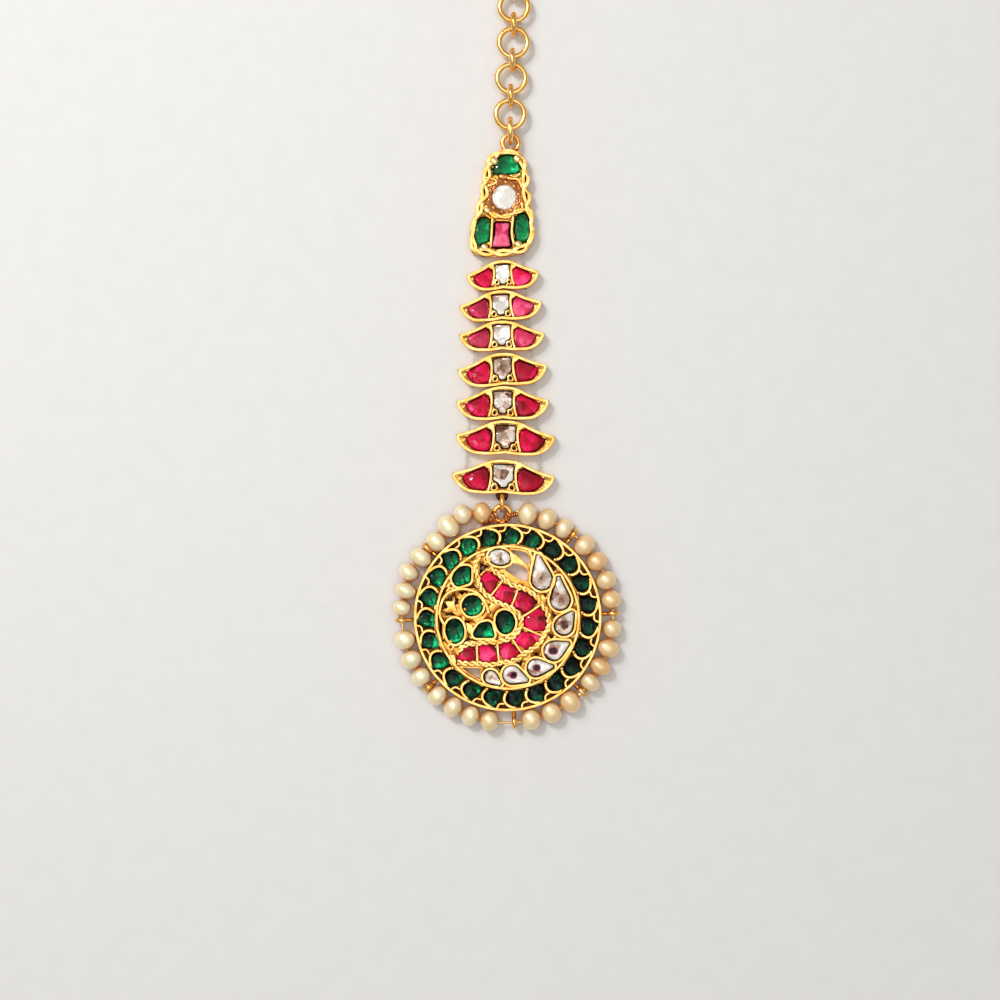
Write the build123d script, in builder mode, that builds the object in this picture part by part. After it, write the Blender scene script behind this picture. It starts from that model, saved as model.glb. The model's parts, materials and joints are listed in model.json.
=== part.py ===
"""A maang tikka: a pearl-edged disc below seven crescents, a tapered plate, a chain and a hair hook.

The jewel lies flat, face up, with +Y towards the hook. Lengths are in millimetres. It is drawn
about the disc's centre, and the last section moves it onto the middle of its own footprint.
"""

import os
from collections import namedtuple
from math import acos, asin, cos, degrees, hypot, pi, radians, sin

from build123d import *

# ---------------------------------------------------------------- driving dimensions

stone_gap = 0.12  # clear space round each stone in its cell
seat_gap = 0.04  # clear space under each stone
stone_sink = 0.12  # how far a stone's table lies below the walls

disc_radius = 16.3
disc_base = 1.3  # solid plate under the cells
disc_height = 2.9
rim_count = 23  # green stones round the rim
rim_first_deg = 2.5  # bearing of the first rim stone

loop_height = 1.6  # height of the flat loops that the jump ring and the bail link hold
disc_loop_radius = 1.4
disc_loop_wire = 0.34
disc_loop_x, disc_loop_y = -0.95, 17.95
low_eyelet_radius = 0.78  # eyelet under the lowest crescent
low_eyelet_wire = 0.3
low_eyelet_y = 21.15
jump_ring_radius = 1.3
jump_ring_wire = 0.3

pearl_radius = 1.68
pearl_height = 1.8  # height of the pearls' centres
pearl_hole_radius = 0.4
pearl_wire_radius = 0.18
pearl_circle = 18.35  # radius of the wire that strings the pearls
pearl_bow_radius = 19.6  # the wire's last span bows out to here
eyelet_radius = 0.85  # eyelets on the disc that carry the wire
eyelet_wire = 0.32

crescent_base = 1.3
crescent_height = 2.4
crescent_unit = 8.05  # half width at which the crescent's shape is drawn
thread_radius = 0.33
thread_hole_radius = 0.42
thread_height = 0.65
thread_top_y, thread_low_y = 65.2, 23.7

plate_base = 1.3
plate_height = 2.6
plate_x, plate_y, plate_tilt_deg = -0.7, 63.5, -3.9
plate_round_cell = 2.75  # radius of the wide cell round the clear stone
plate_scallop = 0.28  # how far each scallop of the edge swells
plate_loop_radius = 1.42

chain_wire = 0.42
chain_height = 1.84  # height of the flat rings
ring_radius = 2.45
link_radius = 1.62  # upright links between the rings
bail_link_radius = 1.98
ring_gap = 0.65  # from a ring's wire to the middle of the link through it

hook_wire = 0.45
hook_eye_radius = 1.3
hook_shank = 6.5
hook_bend_radius = 1.7
hook_return = 4.2
hook_flick_deg = 35

# ---------------------------------------------------------------- tables

Crescent = namedtuple("Crescent", "x y half_width height_share tilt_deg")
crescents = [
    Crescent(-0.85, 59.55, 6.25, 0.88, 3.3),
    Crescent(-1.20, 54.25, 7.15, 0.90, 3.3),
    Crescent(-1.00, 49.00, 7.40, 0.90, 1.2),
    Crescent(-0.90, 43.15, 7.75, 0.98, 3.3),
    Crescent(-0.85, 37.30, 8.05, 1.00, 0.6),
    Crescent(-0.35, 31.30, 8.60, 1.03, -1.3),
    Crescent(-0.75, 24.50, 8.90, 1.03, -2.0),
]

Thread = namedtuple("Thread", "name low_x top_x")
threads = [
    Thread("thread_left", -7.40, -3.95),
    Thread("thread_right", 5.80, 2.35),
]

Ring = namedtuple("Ring", "x y")
rings = [
    Ring(0.45, 87.40),
    Ring(0.65, 93.64),
    Ring(1.00, 99.86),
    Ring(1.10, 106.08),
]

# Bearings are clockwise from +Y, in degrees.
pearl_bearings = [
    11, 22, 32.6, 47, 58, 69.5, 80.5, 96.5, 107.3, 118, 128.4, 143.5, 155.3, 167, 190,
    200.8, 211.3, 221.8, 235.5, 246.3, 257.5, 275, 284.6, 294.4, 304.6, 316.6, 327, 336.4, 346.2,
]
eyelet_bearings = [38.5, 87.9, 135, 176.3, 228.4, 268.3, 310.8]
wire_start_bearing, wire_end_bearing = 3.5, 350.8

Drop = namedtuple("Drop", "x y radius length tip_deg")
white_drops = [
    Drop(5.95, 6.60, 1.70, 4.5, 99),
    Drop(9.15, 3.00, 1.60, 4.3, 95),
    Drop(9.75, -1.45, 1.50, 3.1, 57),
    Drop(8.00, -5.80, 1.55, 3.2, 27),
    Drop(4.90, -8.75, 1.38, 3.3, 4),
    Drop(0.75, -9.95, 1.45, 3.2, -21),
    Drop(-2.95, -10.35, 1.02, 2.4, -37),
]

Oval = namedtuple("Oval", "x y across along turn_deg")
white_head = Oval(-1.35, 10.42, 1.80, 1.28, -8)
green_ovals = [
    Oval(-6.10, 2.05, 1.72, 1.72, 0),
    Oval(-0.40, -0.80, 1.58, 1.98, 8),
    Oval(-9.15, -2.35, 1.50, 2.10, 6),
]
plate_round = Oval(-0.55, 9.45, 2.15, 2.15, 0)

# Cells of the peacock, each from one corner round to the last.
green_cells = [
    [(-6.45, 8.75), (-7.9, 8.85), (-9.1, 7.9), (-9.6, 6.5), (-8.8, 5.4), (-6.5, 6.15)],
    [(-3.05, -0.75), (-4.8, -1.05), (-5.95, -2.75), (-5.6, -3.4), (-2.3, -3.35)],
]
red_cells = [
    [(-4.75, 6.75), (-3.05, 7.95), (-1.65, 6.7), (-2.75, 4.35), (-3.45, 4.2)],
    [(-1.15, 5.75), (0.95, 4.95), (0.75, 2.45), (0.1, 2.45), (-2.35, 3.55)],
    [(1.65, 4.35), (2.85, 4.5), (5.0, 2.85), (3.7, 1.15), (2.85, 0.9), (1.2, 2.0)],
    [(5.4, 1.7), (6.2, 1.1), (6.65, -0.7), (6.4, -2.15), (3.8, -2.15), (3.0, -1.3), (3.1, 0.1)],
    [(2.45, -2.6), (3.5, -2.85), (5.5, -2.95), (5.4, -3.85), (3.25, -5.5), (1.2, -4.1)],
    [(-1.7, -4.75), (0.25, -4.5), (2.2, -5.9), (1.2, -6.9), (-0.4, -7.25), (-0.9, -6.75)],
    [(-5.0, -4.95), (-2.65, -4.9), (-1.55, -6.7), (-1.85, -7.55), (-4.45, -7.6), (-4.75, -6.5)],
    [(-8.7, -7.0), (-7.1, -5.2), (-6.05, -5.1), (-5.5, -6.7), (-6.0, -7.45), (-8.1, -7.4)],
]
# Openings above the beak, below it, and under the tail.
open_cells = [
    [(0.75, 11.5), (2.1, 11.5), (3.3, 10.9), (3.9, 9.9), (3.9, 9.1), (3.3, 10.1), (2.2, 10.9)],
    [(-0.7, 8.35), (0.4, 9.05), (1.9, 9.1), (3.5, 8.2), (3.45, 6.4), (2.5, 6.4), (1.1, 7.15)],
    [(-7.5, -9.15), (-4.95, -8.95), (-4.95, -10.65)],
]

Slit = namedtuple("Slit", "x y size turn_deg")
disc_slits = [
    Slit(-6.15, 10.0, 0.42, 20),
    Slit(-4.35, 8.45, 0.55, 75),
    Slit(-3.75, 10.05, 0.26, 0),
    Slit(-9.75, 5.50, 0.26, 0),
    Slit(-6.15, 5.30, 0.30, 90),
    Slit(-10.9, 4.00, 0.34, 40),
    Slit(-10.15, 3.35, 0.42, 60),
    Slit(-8.75, 2.85, 0.28, 270),
    Slit(-11.15, 1.85, 0.40, 90),
    Slit(-10.1, 0.60, 0.30, 30),
    Slit(-3.15, 2.20, 0.40, 10),
    Slit(-3.00, 0.75, 0.30, 40),
    Slit(-6.75, -3.75, 0.30, 90),
    Slit(-9.85, -5.15, 0.26, 0),
    Slit(6.60, 3.85, 0.30, 90),
    Slit(8.20, 8.35, 0.30, 140),
    Slit(7.50, -3.35, 0.30, 0),
    Slit(2.05, -8.25, 0.30, 200),
    Slit(5.30, -6.40, 0.26, 20),
]
plate_slits = [
    Slit(-3.45, 12.25, 0.28, 0),
    Slit(-4.15, 9.30, 0.26, 90),
    Slit(-4.20, 6.95, 0.30, 90),
    Slit(2.55, 12.0, 0.26, 120),
    Slit(3.05, 7.95, 0.28, 90),
]

# One cell of the rim: bearing from the stone's own bearing, and distance from the disc's centre.
rim_stone = [
    (-3.3, 15.1), (-1.2, 15.55), (1.7, 15.5), (4.2, 15.0), (5.2, 14.2),
    (4.7, 13.45), (3.0, 12.95), (-1.5, 12.8), (-5.4, 12.9), (-5.2, 14.1),
]
rim_slit = [(8.1, 15.55), (10.4, 15.6), (9.9, 15.05), (9.0, 15.0)]

# The plate is drawn about the middle of its foot. Its edge runs up the left and down the right.
plate_notches = [
    (-5.4, -0.6), (-6.0, 3.1), (-5.2, 6.3), (-4.5, 9.6), (-4.3, 12.9), (-3.7, 15.9), (-1.7, 17.6),
    (1.6, 17.5), (3.1, 14.6), (3.4, 11.2), (4.1, 8.0), (4.9, 5.0), (4.9, 2.2), (3.4, 0.1),
]
plate_foot = (-0.5, -0.85)
plate_cells = {
    "plate_stone_crown": [
        (-1.75, 16.0), (-0.8, 16.6), (0.25, 16.6), (1.6, 14.85),
        (1.55, 14.0), (-0.7, 13.6), (-2.1, 13.35), (-2.55, 14.0),
    ],
    "plate_stone_left": [
        (-4.7, 5.1), (-3.0, 5.5), (-2.8, 3.5), (-3.0, 1.6), (-4.6, 1.1), (-5.0, 2.6),
    ],
    "plate_stone_middle": [
        (-1.85, 4.95), (0.75, 5.05), (0.7, 3.0), (1.2, 0.95), (-2.15, 0.65), (-1.7, 3.0),
    ],
    "plate_stone_right": [
        (2.1, 6.4), (3.5, 6.6), (3.9, 4.9), (4.1, 3.0), (3.5, 2.1), (2.2, 2.2), (1.85, 4.2),
    ],
}

pieces = {}  # every finished piece by its name

# ---------------------------------------------------------------- outlines


def bearing_point(bearing_deg, distance=1.0):
    """The point at a bearing and a distance from the disc's centre."""
    return (distance * sin(radians(bearing_deg)), distance * cos(radians(bearing_deg)))


def turned(points, angle_deg, x, y):
    """The points turned about the origin, then moved to x and y."""
    c, s = cos(radians(angle_deg)), sin(radians(angle_deg))
    return [(x + px * c - py * s, y + px * s + py * c) for px, py in points]


def cut_corners(points, cut=0.28):
    """Each corner replaced by a short edge, so that a stone has enough facets."""
    made = []
    for i, (x, y) in enumerate(points):
        for next_x, next_y in (points[i - 1], points[(i + 1) % len(points)]):
            share = min(cut / hypot(next_x - x, next_y - y), 0.3)
            made.append((x + (next_x - x) * share, y + (next_y - y) * share))
    return made


def oval_outline(oval, sides=12):
    """An even-sided oval."""
    angles = [2 * pi * k / sides for k in range(sides)]
    ring = [(oval.across * cos(a), oval.along * sin(a)) for a in angles]
    return turned(ring, oval.turn_deg, oval.x, oval.y)


def drop_outline(drop, round_sides=9, blunt=0.35):
    """A pear: a round end, straight shoulders, and a tip with its point cut off."""
    touch = acos(drop.radius / drop.length)
    arc = [touch + (2 * pi - 2 * touch) * k / round_sides for k in range(round_sides + 1)]
    pear = [(drop.radius * cos(a), drop.radius * sin(a)) for a in arc]
    pear += [(drop.length - blunt, -blunt / 2), (drop.length - blunt, blunt / 2)]
    return turned(pear, drop.tip_deg, drop.x, drop.y)


def slit_outline(slit):
    """A small triangle."""
    corners = [(slit.size * cos(a), slit.size * sin(a)) for a in (0, 2 * pi / 3, 4 * pi / 3)]
    return turned(corners, slit.turn_deg, slit.x, slit.y)


def rim_outline(points, bearing_deg):
    """A rim cell's points at its place in the ring."""
    return [bearing_point(bearing_deg + angle, distance) for angle, distance in points]


def crescent_sized(piece, points):
    """Points of the crescent's drawing at the size of one crescent."""
    wide = piece.half_width / crescent_unit
    return [(x * wide, y * piece.height_share) for x, y in points]


def crescent_side_outline(piece, side):
    """The red stone beside the clear one, on the right for side 1 and the left for side -1."""
    right = [
        (6.2, -0.35), (3.25, 1.15), (2.6, 0.85), (2.35, 0.1), (2.35, -1.2),
        (2.75, -2.1), (3.5, -2.35), (4.7, -2.15), (5.7, -1.5),
    ]
    return crescent_sized(piece, [(side * x, y) for x, y in right])


def crescent_middle_outline(piece):
    """The clear stone: square above, narrow below."""
    right = [(1.5, 1.75), (1.5, -0.55), (0.65, -1.1), (0.5, -1.75)]
    left = [(-x, y) for x, y in reversed(right)]
    return cut_corners(crescent_sized(piece, right + left), 0.2)


# ---------------------------------------------------------------- shared makers


def gem(outline, seat, top, base=Plane.XY, girdle_share=0.45, table_share=0.64):
    """A cut stone: an upright girdle, a facet for each side of the outline, and a flat table."""
    middle_x = sum(x for x, _ in outline) / len(outline)
    middle_y = sum(y for _, y in outline) / len(outline)
    girdle = seat + (top - seat) * girdle_share
    with BuildPart() as stone:
        for height, share in ((seat, 1.0), (girdle, 1.0), (top, table_share)):
            drawn = [
                (middle_x + (x - middle_x) * share, middle_y + (y - middle_y) * share)
                for x, y in outline
            ]
            with BuildSketch(base.offset(height)):
                Polygon(*drawn, align=None)
        loft(ruled=True)
    return stone.part


def field(outlines, seat, top):
    """Several loose stones as one part."""
    stones = [gem(outline, seat, top) for outline in outlines]
    with BuildPart() as made:
        add(stones)
    return made.part


def cell_of(outline):
    """The cell that a stone sits in, larger than the stone all round."""
    with BuildSketch() as cell:
        Polygon(*outline, align=None)
        offset(amount=stone_gap, kind=Kind.INTERSECTION)
    return cell.sketch


def opening_of(outline):
    """The outline of an opening as a sketch."""
    with BuildSketch() as opening:
        Polygon(*outline, align=None)
    return opening.sketch


def wire_ring(radius, wire, x, y, height, upright=False):
    """A round ring of round wire, lying flat or standing on edge along Y."""
    plane = Plane((x, y, height), z_dir=(1, 0, 0) if upright else (0, 0, 1))
    with BuildPart(plane) as ring:
        Torus(radius, wire)
    return ring.part


# ---------------------------------------------------------------- stones of the disc

rim_bearings = [rim_first_deg + 360 / rim_count * k for k in range(rim_count)]
disc_fields = {
    "disc_rim_stones": [rim_outline(rim_stone, bearing) for bearing in rim_bearings],
    "peacock_red_stones": [cut_corners(cell) for cell in red_cells],
    "peacock_green_stones": [cut_corners(cell) for cell in green_cells]
    + [oval_outline(oval) for oval in green_ovals],
    "peacock_white_stones": [drop_outline(drop) for drop in white_drops] + [oval_outline(white_head)],
}
for name, outlines in disc_fields.items():
    pieces[name] = field(outlines, disc_base + seat_gap, disc_height - stone_sink)

# ---------------------------------------------------------------- the disc

disc_cells = [cell_of(outline) for outlines in disc_fields.values() for outline in outlines]
disc_openings = [opening_of(rim_outline(rim_slit, bearing)) for bearing in rim_bearings]
disc_openings += [opening_of(cut_corners(cell)) for cell in open_cells]
disc_openings += [opening_of(slit_outline(slit)) for slit in disc_slits]
root_radius = disc_radius - 0.4  # where the stems and the loop start inside the rim

with BuildPart() as disc_frame:
    with BuildSketch():
        Circle(disc_radius)
        add(disc_openings, mode=Mode.SUBTRACT)
    extrude(amount=disc_base)
    with BuildSketch(Plane.XY.offset(disc_base)):
        Circle(disc_radius)
        add(disc_openings, mode=Mode.SUBTRACT)
        add(disc_cells, mode=Mode.SUBTRACT)
    extrude(amount=disc_height - disc_base)
    # eyelets for the pearls' wire, each on a short stem
    for bearing in eyelet_bearings:
        out_x, out_y = bearing_point(bearing)
        eye = Vector(*bearing_point(bearing, pearl_circle), pearl_height)
        root = Vector(*bearing_point(bearing, root_radius), pearl_height)
        with Locations(Plane(eye, x_dir=(out_x, out_y, 0), z_dir=(out_y, -out_x, 0))):
            Torus(eyelet_radius, eyelet_wire)
        with BuildSketch(Plane(root, z_dir=(out_x, out_y, 0))):
            Circle(eyelet_wire)
        extrude(amount=pearl_circle - eyelet_radius - root_radius)
    # the loop at the top, soldered to the rim
    with Locations((disc_loop_x, disc_loop_y, loop_height)):
        Torus(disc_loop_radius, disc_loop_wire)
    with BuildSketch(Plane((disc_loop_x, root_radius, loop_height), z_dir=(0, 1, 0))):
        RectangleRounded(1.5, 0.9, 0.3)
    extrude(amount=disc_loop_y - disc_loop_radius - root_radius)
pieces["disc_frame"] = disc_frame.part

# ---------------------------------------------------------------- pearls on their wire

bow_bearing = eyelet_bearings[-1]
bow_start = bearing_point(bow_bearing, pearl_circle)
with BuildLine(Plane.XY.offset(pearl_height)) as round_span:
    ThreePointArc(
        bearing_point(wire_start_bearing, pearl_circle),
        bearing_point(180, pearl_circle),
        bow_start,
    )
with BuildLine(Plane.XY.offset(pearl_height)) as bowed_span:
    ThreePointArc(
        bow_start,
        bearing_point(334, pearl_bow_radius),
        bearing_point(wire_end_bearing, pearl_circle),
    )

with BuildPart() as pearl_wire:
    for span in (round_span.line, bowed_span.line):
        with BuildSketch(Plane(span @ 0, z_dir=span % 0)):
            Circle(pearl_wire_radius)
        sweep(path=span)
    with Locations(bowed_span.line @ 0):
        Sphere(1.4 * pearl_wire_radius)
pieces["pearl_wire"] = pearl_wire.part


def wire_at(bearing_deg):
    """Where the wire passes near a bearing, and the way that it runs there."""
    if bearing_deg <= bow_bearing:
        spot = Vector(*bearing_point(bearing_deg, pearl_circle), pearl_height)
        return spot, Vector(*bearing_point(bearing_deg + 90))
    share = (bearing_deg - bow_bearing) / (wire_end_bearing - bow_bearing)
    return bowed_span.line @ share, bowed_span.line % share


def pearl(spot, way, half_length, half_width):
    """A drilled pearl, round about its wire."""
    with BuildPart() as bead:
        with BuildSketch(Plane(spot, x_dir=way, z_dir=(0, 0, 1))):
            Ellipse(half_length, half_width)
            with Locations((0, pearl_hole_radius - 2 * half_width)):
                Rectangle(4 * half_length, 4 * half_width, mode=Mode.SUBTRACT)
        revolve(axis=Axis(spot, way))
    return bead.part


pearl_spots = [wire_at(bearing) for bearing in pearl_bearings]
eyelet_spots = [wire_at(bearing)[0] for bearing in eyelet_bearings]
pearl_parts = []
for k, (spot, way) in enumerate(pearl_spots):
    next_pearl = min((spot - other).length for j, (other, _) in enumerate(pearl_spots) if j != k)
    next_eyelet = min((spot - other).length for other in eyelet_spots)
    half_length = min(pearl_radius, next_pearl / 2 - 0.06, next_eyelet - eyelet_wire - 0.1)
    half_width = pearl_radius + 0.09 * sin(2.4 * k)
    pearl_parts.append(pearl(spot, way, half_length, half_width))
with BuildPart() as pearls:
    add(pearl_parts)
pieces["pearls"] = pearls.part

# ---------------------------------------------------------------- threads


def thread_rod(thread, radius, overrun=0.0):
    """A straight rod along a thread, longer at each end by the overrun."""
    low = Vector(thread.low_x, thread_low_y, thread_height)
    run = Vector(thread.top_x, thread_top_y, thread_height) - low
    way = run.normalized()
    with BuildPart() as rod:
        with BuildSketch(Plane(low - way * overrun, z_dir=way)):
            Circle(radius)
        extrude(amount=run.length + 2 * overrun)
    return rod.part


for thread in threads:
    pieces[thread.name] = thread_rod(thread, thread_radius)
thread_holes = [thread_rod(thread, thread_hole_radius, 0.2) for thread in threads]

# ---------------------------------------------------------------- crescents


def crescent_plane(piece, height=0.0):
    """The plane of a crescent, turned as it lies."""
    return Plane((piece.x, piece.y, height)).rotated((0, 0, piece.tilt_deg))


def crescent_frame(piece):
    """A crescent's gold box with three cells and two pierced corners, drilled for the threads."""
    crest, brow, shoulder, slope, tip = crescent_sized(
        piece, [(0, 2.8), (1.65, 2.64), (3.2, 2.1), (5.6, 1.0), (8.05, 0.25)]
    )
    point, flank, lobe, dip, foot = crescent_sized(
        piece, [(8.05, 0), (6.75, -2.05), (4.1, -3.0), (2.2, -3.02), (0, -2.75)]
    )
    cells = [cell_of(crescent_side_outline(piece, side)) for side in (-1, 1)]
    cells.append(cell_of(crescent_middle_outline(piece)))
    corners = crescent_sized(piece, [(-1.3, -1.75), (1.3, -1.75)])
    pierced = [opening_of(slit_outline(Slit(x, y, 0.24, 90))) for x, y in corners]
    with BuildPart() as frame:
        with BuildSketch(crescent_plane(piece)):
            with BuildLine():
                ThreePointArc(crest, brow, shoulder)
                ThreePointArc(shoulder, slope, tip)
                Line(tip, point)
                ThreePointArc(point, flank, lobe)
                ThreePointArc(lobe, dip, foot)
                mirror(about=Plane.YZ)
            make_face()
            add(pierced, mode=Mode.SUBTRACT)
        extrude(amount=crescent_height)
        with BuildSketch(crescent_plane(piece, crescent_base)):
            add(cells)
        extrude(amount=crescent_height, mode=Mode.SUBTRACT)
        add(thread_holes, mode=Mode.SUBTRACT)
        if piece is crescents[-1]:
            with Locations((disc_loop_x, low_eyelet_y, loop_height)):
                Torus(low_eyelet_radius, low_eyelet_wire)
    return frame.part


for number, piece in enumerate(crescents, 1):
    pieces[f"crescent_{number}"] = crescent_frame(piece)
    outlines = {
        "left": crescent_side_outline(piece, -1),
        "middle": crescent_middle_outline(piece),
        "right": crescent_side_outline(piece, 1),
    }
    for place, outline in outlines.items():
        pieces[f"crescent_{number}_stone_{place}"] = gem(
            outline, crescent_base + seat_gap, crescent_height - stone_sink, crescent_plane(piece)
        )

# ---------------------------------------------------------------- the tapered plate

plate_plane = Plane((plate_x, plate_y, 0)).rotated((0, 0, plate_tilt_deg))
plate_outlines = {name: cut_corners(cell) for name, cell in plate_cells.items()}
plate_pockets = [cell_of(outline) for outline in plate_outlines.values()]
plate_holes = [opening_of(slit_outline(slit)) for slit in plate_slits]
plate_outlines["plate_stone_round"] = oval_outline(plate_round)
plate_loop_x, plate_loop_y = turned([(-0.1, 18.95)], plate_tilt_deg, plate_x, plate_y)[0]

with BuildPart() as plate_frame:
    with BuildSketch(plate_plane):
        with BuildLine():
            for (x, y), (next_x, next_y) in zip(plate_notches, plate_notches[1:]):
                swell = plate_scallop / hypot(next_x - x, next_y - y)
                crown = ((x + next_x) / 2 - (next_y - y) * swell, (y + next_y) / 2 + (next_x - x) * swell)
                ThreePointArc((x, y), crown, (next_x, next_y))
            ThreePointArc(plate_notches[-1], plate_foot, plate_notches[0])
        make_face()
        add(plate_holes, mode=Mode.SUBTRACT)
    extrude(amount=plate_height)
    with BuildSketch(plate_plane.offset(plate_base)):
        add(plate_pockets)
        with Locations((plate_round.x, plate_round.y)):
            Circle(plate_round_cell)
    extrude(amount=plate_height, mode=Mode.SUBTRACT)
    with Locations((plate_loop_x, plate_loop_y, loop_height)):
        Torus(plate_loop_radius, chain_wire)
    add(thread_holes, mode=Mode.SUBTRACT)
pieces["plate_frame"] = plate_frame.part
for name, outline in plate_outlines.items():
    pieces[name] = gem(outline, plate_base + seat_gap, plate_height - stone_sink, plate_plane)

# ---------------------------------------------------------------- jump ring, chain and hook

jump_ring_y = (disc_loop_y + disc_loop_radius + low_eyelet_y - low_eyelet_radius) / 2
pieces["jump_ring"] = wire_ring(
    jump_ring_radius,
    jump_ring_wire,
    disc_loop_x,
    jump_ring_y,
    jump_ring_radius + jump_ring_wire,
    upright=True,
)

for number, ring in enumerate(rings, 1):
    pieces[f"chain_ring_{number}"] = wire_ring(ring_radius, chain_wire, ring.x, ring.y, chain_height)
bail_link_y = (plate_loop_y + plate_loop_radius + rings[0].y - ring_radius) / 2
last_link_y = rings[-1].y + ring_radius + ring_gap
links = [(bail_link_radius, rings[0].x, bail_link_y)]
for low, high in zip(rings, rings[1:]):
    links.append((link_radius, (low.x + high.x) / 2, (low.y + high.y) / 2))
links.append((link_radius, rings[-1].x, last_link_y))
for number, (radius, x, y) in enumerate(links, 1):
    pieces[f"chain_link_{number}"] = wire_ring(radius, chain_wire, x, y, radius + chain_wire, upright=True)

# The hook slopes down from the chain, so that its bend lies on the surface below.
hook_reach = hook_eye_radius + hook_shank + hook_bend_radius + hook_wire
hook_droop_deg = degrees(asin((chain_height - hook_wire - 0.1) / hook_reach))
hook_y = last_link_y + ring_gap + hook_eye_radius
hook_plane = Plane((rings[-1].x, hook_y, chain_height)).rotated((-hook_droop_deg, 0, 0))
hook_top = hook_eye_radius + hook_shank

with BuildPart() as hair_hook:
    with BuildLine(hook_plane) as hook_path:
        shank = Line((0, hook_eye_radius), (0, hook_top))
        bend = CenterArc((hook_bend_radius, hook_top), hook_bend_radius, 180, -180)
        back = Line((2 * hook_bend_radius, hook_top), (2 * hook_bend_radius, hook_top - hook_return))
        flick_middle = (2 * hook_bend_radius + hook_bend_radius, hook_top - hook_return)
        flick = CenterArc(flick_middle, hook_bend_radius, 180, hook_flick_deg)
    with BuildSketch(Plane(shank @ 0, z_dir=shank % 0)):
        Circle(hook_wire)
    sweep(path=hook_path.line)
    with Locations(hook_plane):
        Torus(hook_eye_radius, hook_wire)
    with Locations(flick @ 1):
        Sphere(hook_wire)
pieces["hair_hook"] = hair_hook.part

# ---------------------------------------------------------------- placing and writing

box = Compound(children=[part.moved(Location((0, 0, 0))) for part in pieces.values()]).bounding_box()
home = Location((-box.center().X, -box.center().Y, -box.min.Z))
os.makedirs("parts", exist_ok=True)
for name, part in pieces.items():
    placed = part.moved(home)
    placed.label = name
    export_step(placed, f"parts/{name}.step")
print("pieces", len(pieces))
print("size", box.size)
print("the disc's centre stands at", home.position)
print("the hook's eye stands at", hook_plane.origin + home.position)
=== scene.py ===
import json
import math
import random

import bmesh
import bpy
from mathutils import Matrix, Vector, noise


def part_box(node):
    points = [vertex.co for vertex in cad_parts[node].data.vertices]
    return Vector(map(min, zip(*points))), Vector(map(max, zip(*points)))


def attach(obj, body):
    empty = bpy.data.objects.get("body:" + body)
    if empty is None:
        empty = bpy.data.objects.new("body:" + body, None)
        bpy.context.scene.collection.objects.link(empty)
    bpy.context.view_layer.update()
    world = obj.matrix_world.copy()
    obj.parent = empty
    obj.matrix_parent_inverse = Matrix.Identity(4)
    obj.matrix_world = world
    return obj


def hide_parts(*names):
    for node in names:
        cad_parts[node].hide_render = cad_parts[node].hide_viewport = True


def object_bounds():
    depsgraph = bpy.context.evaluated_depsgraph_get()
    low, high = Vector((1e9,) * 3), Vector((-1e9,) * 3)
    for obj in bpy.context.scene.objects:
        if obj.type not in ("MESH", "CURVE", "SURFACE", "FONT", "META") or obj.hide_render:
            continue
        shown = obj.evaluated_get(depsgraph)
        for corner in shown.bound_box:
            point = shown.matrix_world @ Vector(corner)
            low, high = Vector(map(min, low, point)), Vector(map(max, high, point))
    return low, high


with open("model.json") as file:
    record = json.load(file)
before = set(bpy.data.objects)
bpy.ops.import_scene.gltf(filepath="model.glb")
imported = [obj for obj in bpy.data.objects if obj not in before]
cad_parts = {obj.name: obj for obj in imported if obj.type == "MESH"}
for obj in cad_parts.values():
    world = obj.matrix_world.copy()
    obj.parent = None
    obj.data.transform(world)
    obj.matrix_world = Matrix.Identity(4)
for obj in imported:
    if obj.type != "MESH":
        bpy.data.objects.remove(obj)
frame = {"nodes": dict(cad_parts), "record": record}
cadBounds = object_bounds()
nodes = frame["nodes"]
scene = bpy.context.scene
noise.seed_set(1)  # else each run's wires are uneven in their own way
mm = 0.001
levelGap = 0.02 * mm  # heights this close are one level
print("frame loaded,", len(nodes), "nodes")

# the jewel is laid out from the middle of its disc
mounts = {mount["name"]: mount for mount in frame["record"]["mounts"]}
discCentre = Vector(mounts["disc_back"]["pos_m"])


def fromDisc(x, y, z=0.0):
    # a place in millimetres from the disc's centre
    return discCentre + Vector((x, y, z)) * mm


def atBearing(bearing, distance, z=0.0):
    # bearings run clockwise from +Y
    angle = math.radians(bearing)
    return fromDisc(distance * math.sin(angle), distance * math.cos(angle), z)


def atAngle(centre, angle, distance):
    # a place round a centre, counter-clockwise from +X
    return centre + Vector((math.cos(angle), math.sin(angle), 0)) * distance * mm


def bearingOf(place):
    return math.degrees(math.atan2(place.x - discCentre.x, place.y - discCentre.y)) % 360


def lifted(place, height):
    # the same place at another height, in millimetres
    return Vector((place.x, place.y, height * mm))


def levelStep(start, end):
    # the way from one place to another as seen from above
    return (end - start) * Vector((1, 1, 0))


def addObject(name, data):
    holder = bpy.data.objects.new(name, data)
    scene.collection.objects.link(holder)
    return holder


def asMesh(name, shape, finishes=()):
    mesh = bpy.data.meshes.new(name)
    shape.to_mesh(mesh)
    shape.free()
    for finish in finishes:
        mesh.materials.append(finish)
    return mesh


def addMesh(shape, mesh):
    shape.from_mesh(mesh)
    bpy.data.meshes.remove(mesh)
    return shape


def shownShape(holder):
    # what a curve looks like, or an object with its modifiers
    bpy.context.view_layer.update()
    graph = bpy.context.evaluated_depsgraph_get()
    return addMesh(bmesh.new(), bpy.data.meshes.new_from_object(holder.evaluated_get(graph)))


def feed(tree, node, inputs):
    # links where another socket is given, else values, with a colour's alpha added
    for name, value in inputs.items():
        socket = node.inputs[name]
        if isinstance(value, bpy.types.NodeSocket):
            tree.links.new(value, socket)
        else:
            socket.default_value = (*value, 1) if socket.type == "RGBA" else value


def newFinish(name):
    finish = bpy.data.materials.new(name)
    finish.use_nodes = True
    return finish, finish.node_tree, finish.node_tree.nodes["Principled BSDF"]


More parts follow.
